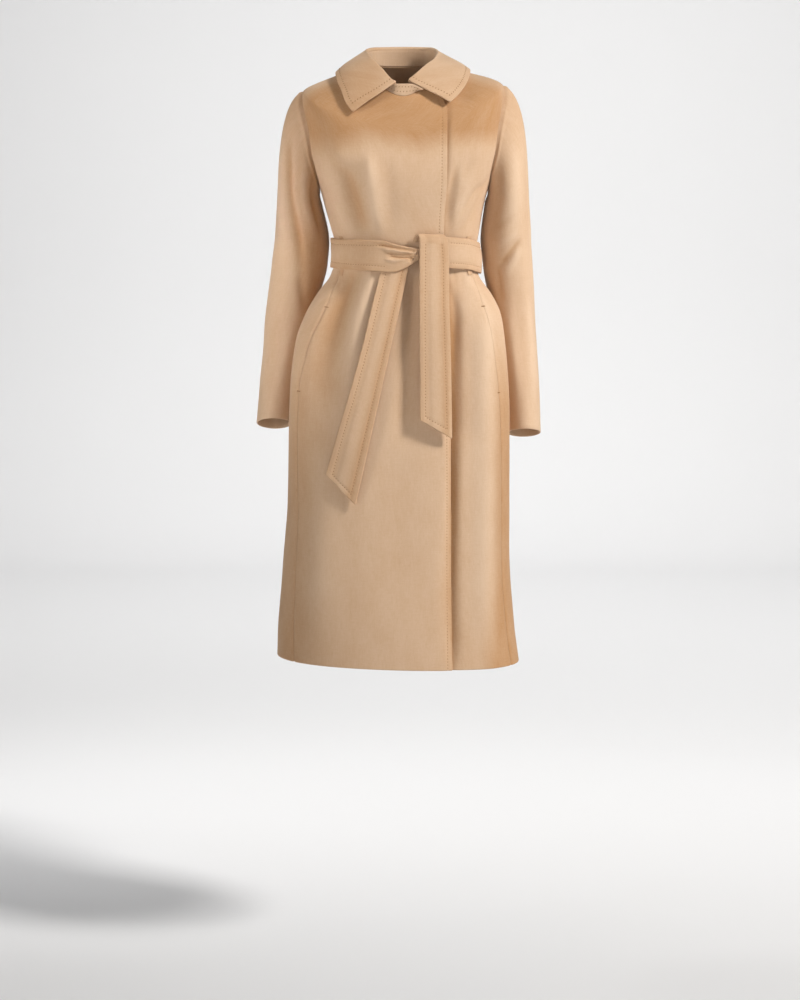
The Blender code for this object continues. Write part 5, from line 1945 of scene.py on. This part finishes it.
@dataclass
class Belt:
    """Waist belt, its two hanging ends and its carriers."""

    shop: Workshop
    table: Table = field(default_factory=lambda: Table(
        ("turn", "centre_z", "half_width", "off"), BELT))
    start_turn: float = -9.2
    end_turn: float = 329.0
    columns: int = 420
    gather_end: float = 30.0
    gather_columns: int = 110
    crease_turns: tuple[float, float] = (42.0, 28.0)
    sewn_turns: tuple[float, float] = (8.0, 18.0)
    sewn_from: int = 70
    bands: tuple[float, ...] = (0.0, 0.0009, 0.0022, 0.0040, 0.0060, STITCH_INSET, 0.0100,
                                0.0125)
    bands_share: float = 0.30
    middle_rows: int = 10
    groove: float = 0.0009
    swell: float = 0.0007
    crown: float = 0.0034
    ripple: float = 0.0004
    ripples: float = 7.0
    ripple_twist: float = 2.0
    tie_rows: int = 74
    tie_crest: Swell = Swell(0.0008, 0.05, 0.45)
    tie_trough: Swell = Swell(-0.0013, -0.48, 0.17)
    tie_wave: float = 0.0009
    # Painted shade on the ties' rolling right part, painted highlight left of their middle.
    tie_painted_shade: Swell = Swell(0.30, 0.62, 0.22)
    tie_painted_highlight: Swell = Swell(-0.30, -0.10, 0.45)
    fold_degrees: tuple[float, float] = (168.0, 8.0)
    fold_rows: int = 22
    fold_rise: float = 0.0175
    fold_sag: float = 0.10
    fold_back: float = 0.0150
    fold_shift: float = 0.0150
    fold_bend: float = 1.3
    fold_narrowing: float = 0.30
    front_slant: float = 0.032
    side_slant: float = 0.050
    slant_start: float = 0.45
    loop_levels: tuple[float, float] = (-0.3660, -0.2980)
    loop_width: float = 0.012
    loop_wall: float = 0.0010
    loop_off: float = 0.0007
    loop_degrees: tuple[float, float] = (-58.5, 56.0)
    loop_rows: int = 24
    loop_columns: int = 7
    resting_nap_and_shading: float = 0.13
    painted_fold_shade: float = 0.45
    fold_height: float = 0.004

    def across(self, half: Array) -> Array:
        """Distances across a band from one edge, close at both edges.

        Args:
            half: half width at each column.

        Returns:
            Rows by columns, from 0 to the full width.
        """
        bands = np.array(self.bands)[:, None]
        width = 2.0 * np.atleast_1d(half)
        near = np.minimum(bands, self.bands_share * width * bands / bands[-1])
        share = np.linspace(0.0, 1.0, self.middle_rows + 2)[1:-1][:, None]
        middle = near[-1] + (width - 2.0 * near[-1]) * share
        return np.concatenate((near, middle, (width - near)[::-1]))

    def build_belt(self) -> None:
        """Make the belt round the waist, gathered towards the knot."""
        form = self.shop.form
        gather = np.linspace(self.start_turn, self.gather_end, self.gather_columns)[:-1]
        turn = np.concatenate((gather, np.linspace(self.gather_end, self.end_turn,
                                                   self.columns - len(gather))))
        centre, half = self.table.read("centre_z", turn), self.table.read("half_width", turn)
        off = self.table.read("off", turn) + BELT_WALL
        height = centre - half + self.across(half)
        spread = np.broadcast_to(turn, height.shape)
        base = form.section(-spread, height)
        relief = np.zeros(height.shape)
        ahead = ramp(spread, *self.crease_turns)
        for crease in BELT_CREASES:
            relief += crease.rise(base[..., X], base[..., Z]) * ahead
        share = (height - centre) / half
        beside = np.sin(np.radians(spread)) ** 2
        relief += (self.swell + self.crown * beside) * (1.0 - share ** 2)
        relief += self.ripple * np.sin(np.radians(spread) * self.ripples
                                       + self.ripple_twist * share)
        edge_line = self.bands.index(STITCH_INSET)
        dip = np.zeros(height.shape)
        dip[(edge_line, -1 - edge_line), :] = self.groove * ramp(turn, *self.sewn_turns)
        outer = form.point(-spread, height, off + relief - dip)
        inner = form.point(-spread, height, off + relief - BELT_WALL)
        # Painted shade in the creases' troughs, painted highlight on their crests.
        nap_and_shade = self.tone(outer) - self.painted_fold_shade * relief / self.fold_height
        shell = ClothShell(outer, inner, Rims(True, True, True, True), nap_and_shade)
        piece = shell.build("coat_belt")
        face = form.normal(-spread, height)
        span = slice(self.sewn_from, len(turn) - 4)
        rows = [(outer[line, span], face[line, span])
                for line in (edge_line, len(height) - 1 - edge_line)]
        sewn = self.shop.stitches.sew("belt_stitches", rows, StitchKind.PICK)
        self.shop.finish_cloth(piece, shell, "belt", "stretched",
                               ["belt_loop_right", "belt_loop_left"], "belt_wool", [sewn])

    def tie(self, name: str, node: str, rows_table: Sequence[Sequence[float]], slant: float,
            folded_over: bool) -> None:
        """Make a hanging belt end with a slanted foot.

        Args:
            name: the object's name.
            node: the solid that it stands for.
            rows_table: its middle line.
            slant: how much lower one corner of its foot is.
            folded_over: whether it starts in a fold over the knot.
        """
        form = self.shop.form
        table = Table(TIE_COLUMNS, rows_table)
        last = rows_table[-1][0]
        length = abs(rows_table[-1][2] - rows_table[0][2])
        close = 1.0 - np.array(self.bands)[::-1] / length
        share = np.concatenate((np.linspace(0.0, close[0], self.tie_rows)[:-1], close))
        step = last * share
        half = table.read("half_width", step)
        width = self.across(half).T
        across = width / half[:, None] - 1.0
        x = table.read("x", step)[:, None] + half[:, None] * across
        lean = smooth_step((share - self.slant_start) / (1.0 - self.slant_start))
        height = table.read("z", step)[:, None] - 0.5 * slant * across * lean[:, None]
        relief = (self.tie_crest.at(across) + self.tie_trough.at(across)
                  + self.tie_wave * np.sin(9.0 * share + 1.2)[:, None] * across)
        off = table.read("off", step)[:, None] + BELT_WALL
        edge_line = self.bands.index(STITCH_INSET)
        groove = np.zeros(x.shape)
        groove[:, (edge_line, -1 - edge_line)] = self.groove
        groove[-1 - edge_line, edge_line:-edge_line] = self.groove
        outer = form.at_front(x, height, off + relief - groove)
        face = form.normal(form.angle_at(x, height), height)
        inner = outer - face * (BELT_WALL - groove)[..., None]
        if folded_over:
            over_outer, over_inner = self.fold_over(table, outer[0], face[0])
            outer = np.concatenate((over_outer, outer))
            inner = np.concatenate((over_inner, inner))
            face = np.concatenate((over_outer - over_inner, face))
        nap_and_shade = self.tone(outer)
        # Painted shade and highlight across the hanging part.
        nap_and_shade[-len(x):] += self.tie_painted_shade.at(across) + self.tie_painted_highlight.at(across)
        shell = ClothShell(outer, inner, Rims(True, True, True, True), nap_and_shade)
        piece = shell.build(name)
        line = sewing_line(outer, face, len(outer) - len(x) + 1, edge_line)
        sewn = self.shop.stitches.sew(name.replace("coat_", "") + "_stitches", [line],
                                      StitchKind.SLANTED)
        self.shop.finish_cloth(piece, shell, node, "hung", ["belt_knot"], "belt_wool", [sewn])

    def fold_over(self, table: Table, first: Array, face: Array) -> tuple[Array, Array]:
        """Rows that carry the front end up behind the knot and over it.

        Args:
            table: the end's middle line.
            first: the first row of the hanging part.
            face: its outward directions.

        Returns:
            Outer and inner rows, the hindmost first.
        """
        outer, inner = [], []
        forward = face.mean(axis=0)
        forward = forward / np.linalg.norm(forward)
        middle_x = float(table.read("x", 0.0))
        for angle in np.radians(np.linspace(*self.fold_degrees, self.fold_rows)):
            behind = 0.5 * (1.0 - math.cos(angle))
            row = first - forward * self.fold_back * behind
            row[:, X] += ((middle_x - first[:, X]) * self.fold_narrowing * behind
                          - self.fold_shift * behind ** self.fold_bend)
            row[:, Z] += self.fold_rise * math.sin(angle) * (1.0 - self.fold_sag * behind)
            out = forward * math.cos(angle) + np.array((0.0, 0.0, math.sin(angle)))
            outer.append(row)
            inner.append(row - out / np.linalg.norm(out) * BELT_WALL)
        return np.array(outer), np.array(inner)

    def build_loop(self, name: str, node: str, deg: float) -> None:
        """Make one carrier that lies on the coat, under the belt.

        Args:
            name: the object's name.
            node: the solid that it stands for.
            deg: its angle round the body.
        """
        form = self.shop.form
        level = np.linspace(*self.loop_levels, self.loop_rows)[:, None]
        per = form.degrees_per_metre(np.full(level.shape, deg), level)
        reach = np.linspace(-0.5, 0.5, self.loop_columns)[None, :] * self.loop_width
        grid_deg = deg + reach * per
        levels = np.broadcast_to(level, grid_deg.shape)
        outer = form.point(grid_deg, levels, self.loop_wall + self.loop_off)
        inner = form.point(grid_deg, levels, self.loop_off)
        shell = ClothShell(outer, inner, Rims(True, True, True, True), self.tone(outer))
        piece = shell.build(name)
        self.shop.finish_cloth(piece, shell, node, "stretched", ["back"], "belt_wool")

    def tone(self, points: Array) -> Array:
        """The belt is a shade deeper than the coat, most of all on the right."""
        return nap_and_shade_of(points, self.resting_nap_and_shading, BELT_NAP)

    def build(self) -> None:
        """Make every piece of the belt."""
        self.build_loop("coat_belt_loop_right", "belt_loop_right", self.loop_degrees[0])
        self.build_loop("coat_belt_loop_left", "belt_loop_left", self.loop_degrees[1])
        self.build_belt()
        Knot(self.shop).build()
        self.tie("coat_belt_end_side", "belt_end_side", TIE_SIDE, self.side_slant, False)
        self.tie("coat_belt_end_front", "belt_end_front", TIE_FRONT, self.front_slant, True)


# ---------------------------------------------------------------- studio
@dataclass(frozen=True)
class Lamp:
    """A soft rectangular lamp: its height is its size, and slim its width as a share."""

    name: str
    place: Place
    aim: Place
    size: float
    power: float
    colour: Colour = (1.0, 1.0, 1.0)
    spread: float = 180.0
    slim: float = 1.0

    def build(self) -> None:
        """Hang the lamp."""
        data = bpy.data.lights.new(self.name, "AREA")
        data.spread = math.radians(self.spread)
        data.shape, data.size, data.size_y = "RECTANGLE", self.size * self.slim, self.size
        data.energy, data.color = self.power, self.colour
        lamp = bpy.data.objects.new(self.name, data)
        lamp.location = self.place
        away = Vector(self.aim) - Vector(self.place)
        lamp.rotation_euler = away.to_track_quat("-Z", "Y").to_euler()
        bpy.context.collection.objects.link(lamp)


LAMPS = (
    Lamp("key", (4.4, -2.7, 3.3), (0.0, 0.0, -0.8), 1.10, 428.0, (1.0, 0.985, 0.96)),
    Lamp("side_fill", (-3.4, -1.9, 0.2), (-0.15, 0.0, 0.15), 1.2, 4.8, (1.0, 0.96, 0.90), 40.0),
    Lamp("front_fill", (-0.6, -4.6, -0.3), (0.0, 0.0, -0.9), 1.8, 28.0),
    Lamp("strip_right", (-2.9, -2.9, 0.1), (-0.215, 0.0, -0.40), 0.5, 0.09,
         (1.0, 0.98, 0.95), 5.0, 0.2),
    Lamp("strip_left", (3.0, -2.9, 0.1), (0.205, 0.0, -0.36), 0.5, 0.05,
         (1.0, 0.98, 0.95), 5.0, 0.2),
    Lamp("wall_-1", (-2.8, 1.6, 2.4), (0.4, 4.6, -1.1), 2.0, 31.0, spread=95.0),
    Lamp("floor_-1", (-3.5, 1.0, 1.5), (-0.6, 0.9, -1.64), 1.0, 3.7, spread=36.0),
    Lamp("wall_+1", (2.8, 1.6, 2.4), (-0.4, 4.6, -1.1), 2.0, 31.0, spread=95.0),
    Lamp("floor_+1", (3.5, 1.0, 1.5), (0.6, 0.9, -1.64), 1.0, 1.7, spread=36.0),
)


@dataclass
class Studio:
    """Plain pale floor and backdrop, soft light and the camera."""

    floor_z: float = -1.640
    wall_y: float = 5.6
    bend: float = 1.1
    half_width: float = 6.5
    front_y: float = -7.0
    wall_top: float = 3.6
    bend_steps: int = 24
    camera_place: Place = (-0.0054, -4.0, -0.25)
    camera_aim: Place = (-0.0054, 0.0, -0.774)
    lens: float = 80.0
    air: float = 0.115

    def backdrop(self, paper: bpy.types.Material) -> bpy.types.Object:
        """Lay out one sheet of paper: floor, bend and wall.

        Args:
            paper: its material.

        Returns:
            The sheet.
        """
        line = [(self.front_y, self.floor_z)]
        for i in range(self.bend_steps + 1):
            angle = 0.5 * math.pi * i / self.bend_steps
            line.append((self.wall_y - self.bend + self.bend * math.sin(angle),
                         self.floor_z + self.bend * (1.0 - math.cos(angle))))
        line.append((self.wall_y, self.wall_top))
        points = [(x, y, z) for y, z in line for x in (-self.half_width, self.half_width)]
        faces = [(2 * i, 2 * i + 1, 2 * i + 3, 2 * i + 2) for i in range(len(line) - 1)]
        mesh = bpy.data.meshes.new("backdrop")
        mesh.from_pydata(points, [], faces)
        mesh.shade_smooth()
        mesh.materials.append(paper)
        sheet = bpy.data.objects.new("backdrop", mesh)
        bpy.context.collection.objects.link(sheet)
        return sheet

    def build(self) -> None:
        """Set up the floor, the lamps, the air's light and the camera."""
        self.backdrop(PaperFinish("studio_paper").material())
        for lamp in LAMPS:
            lamp.build()
        world = bpy.data.worlds.new("air")
        world.use_nodes = True
        ground = world.node_tree.nodes["Background"]
        ground.inputs["Color"].default_value = (1.0, 1.0, 1.0, 1.0)
        ground.inputs["Strength"].default_value = self.air
        bpy.context.scene.world = world
        bpy.context.scene.view_settings.view_transform = "Standard"
        data = bpy.data.cameras.new("camera")
        data.lens = self.lens
        camera = bpy.data.objects.new("camera", data)
        camera.location = self.camera_place
        away = Vector(self.camera_aim) - Vector(self.camera_place)
        camera.rotation_euler = away.to_track_quat("-Z", "Y").to_euler()
        bpy.context.collection.objects.link(camera)
        bpy.context.scene.camera = camera


def main() -> None:
    """Build the coat and its studio."""
    logging.basicConfig(level=logging.INFO, format="%(name)s: %(message)s")
    wool = WoolFinish("camel_wool").material()
    belt_wool = WoolFinish("belt_wool", resting=0.62, brushing=0.24).material()
    # The thread's dark brown is painted shade of the stitches' dimples.
    thread = ThreadFinish("thread_painted_dimple_shade").material()
    shop = Workshop(CoatForm(), wool, belt_wool, StitchMaker(thread))
    BodyPanels(shop).build()
    Sleeve(shop, "coat_sleeve_right", "sleeve_right", SLEEVE_RIGHT, -1.0,
           SLEEVE_RIGHT_CREASES, 0.95).build()
    Sleeve(shop, "coat_sleeve_left", "sleeve_left", SLEEVE_LEFT, 1.0,
           SLEEVE_LEFT_CREASES, 0.29).build()
    collar = Collar(shop)
    collar.build_stand()
    collar.build_collar()
    Belt(shop).build()
    Studio().build()
    LOG.info("pieces: %s", ", ".join(shop.made))


if __name__ == "__main__":
    main()
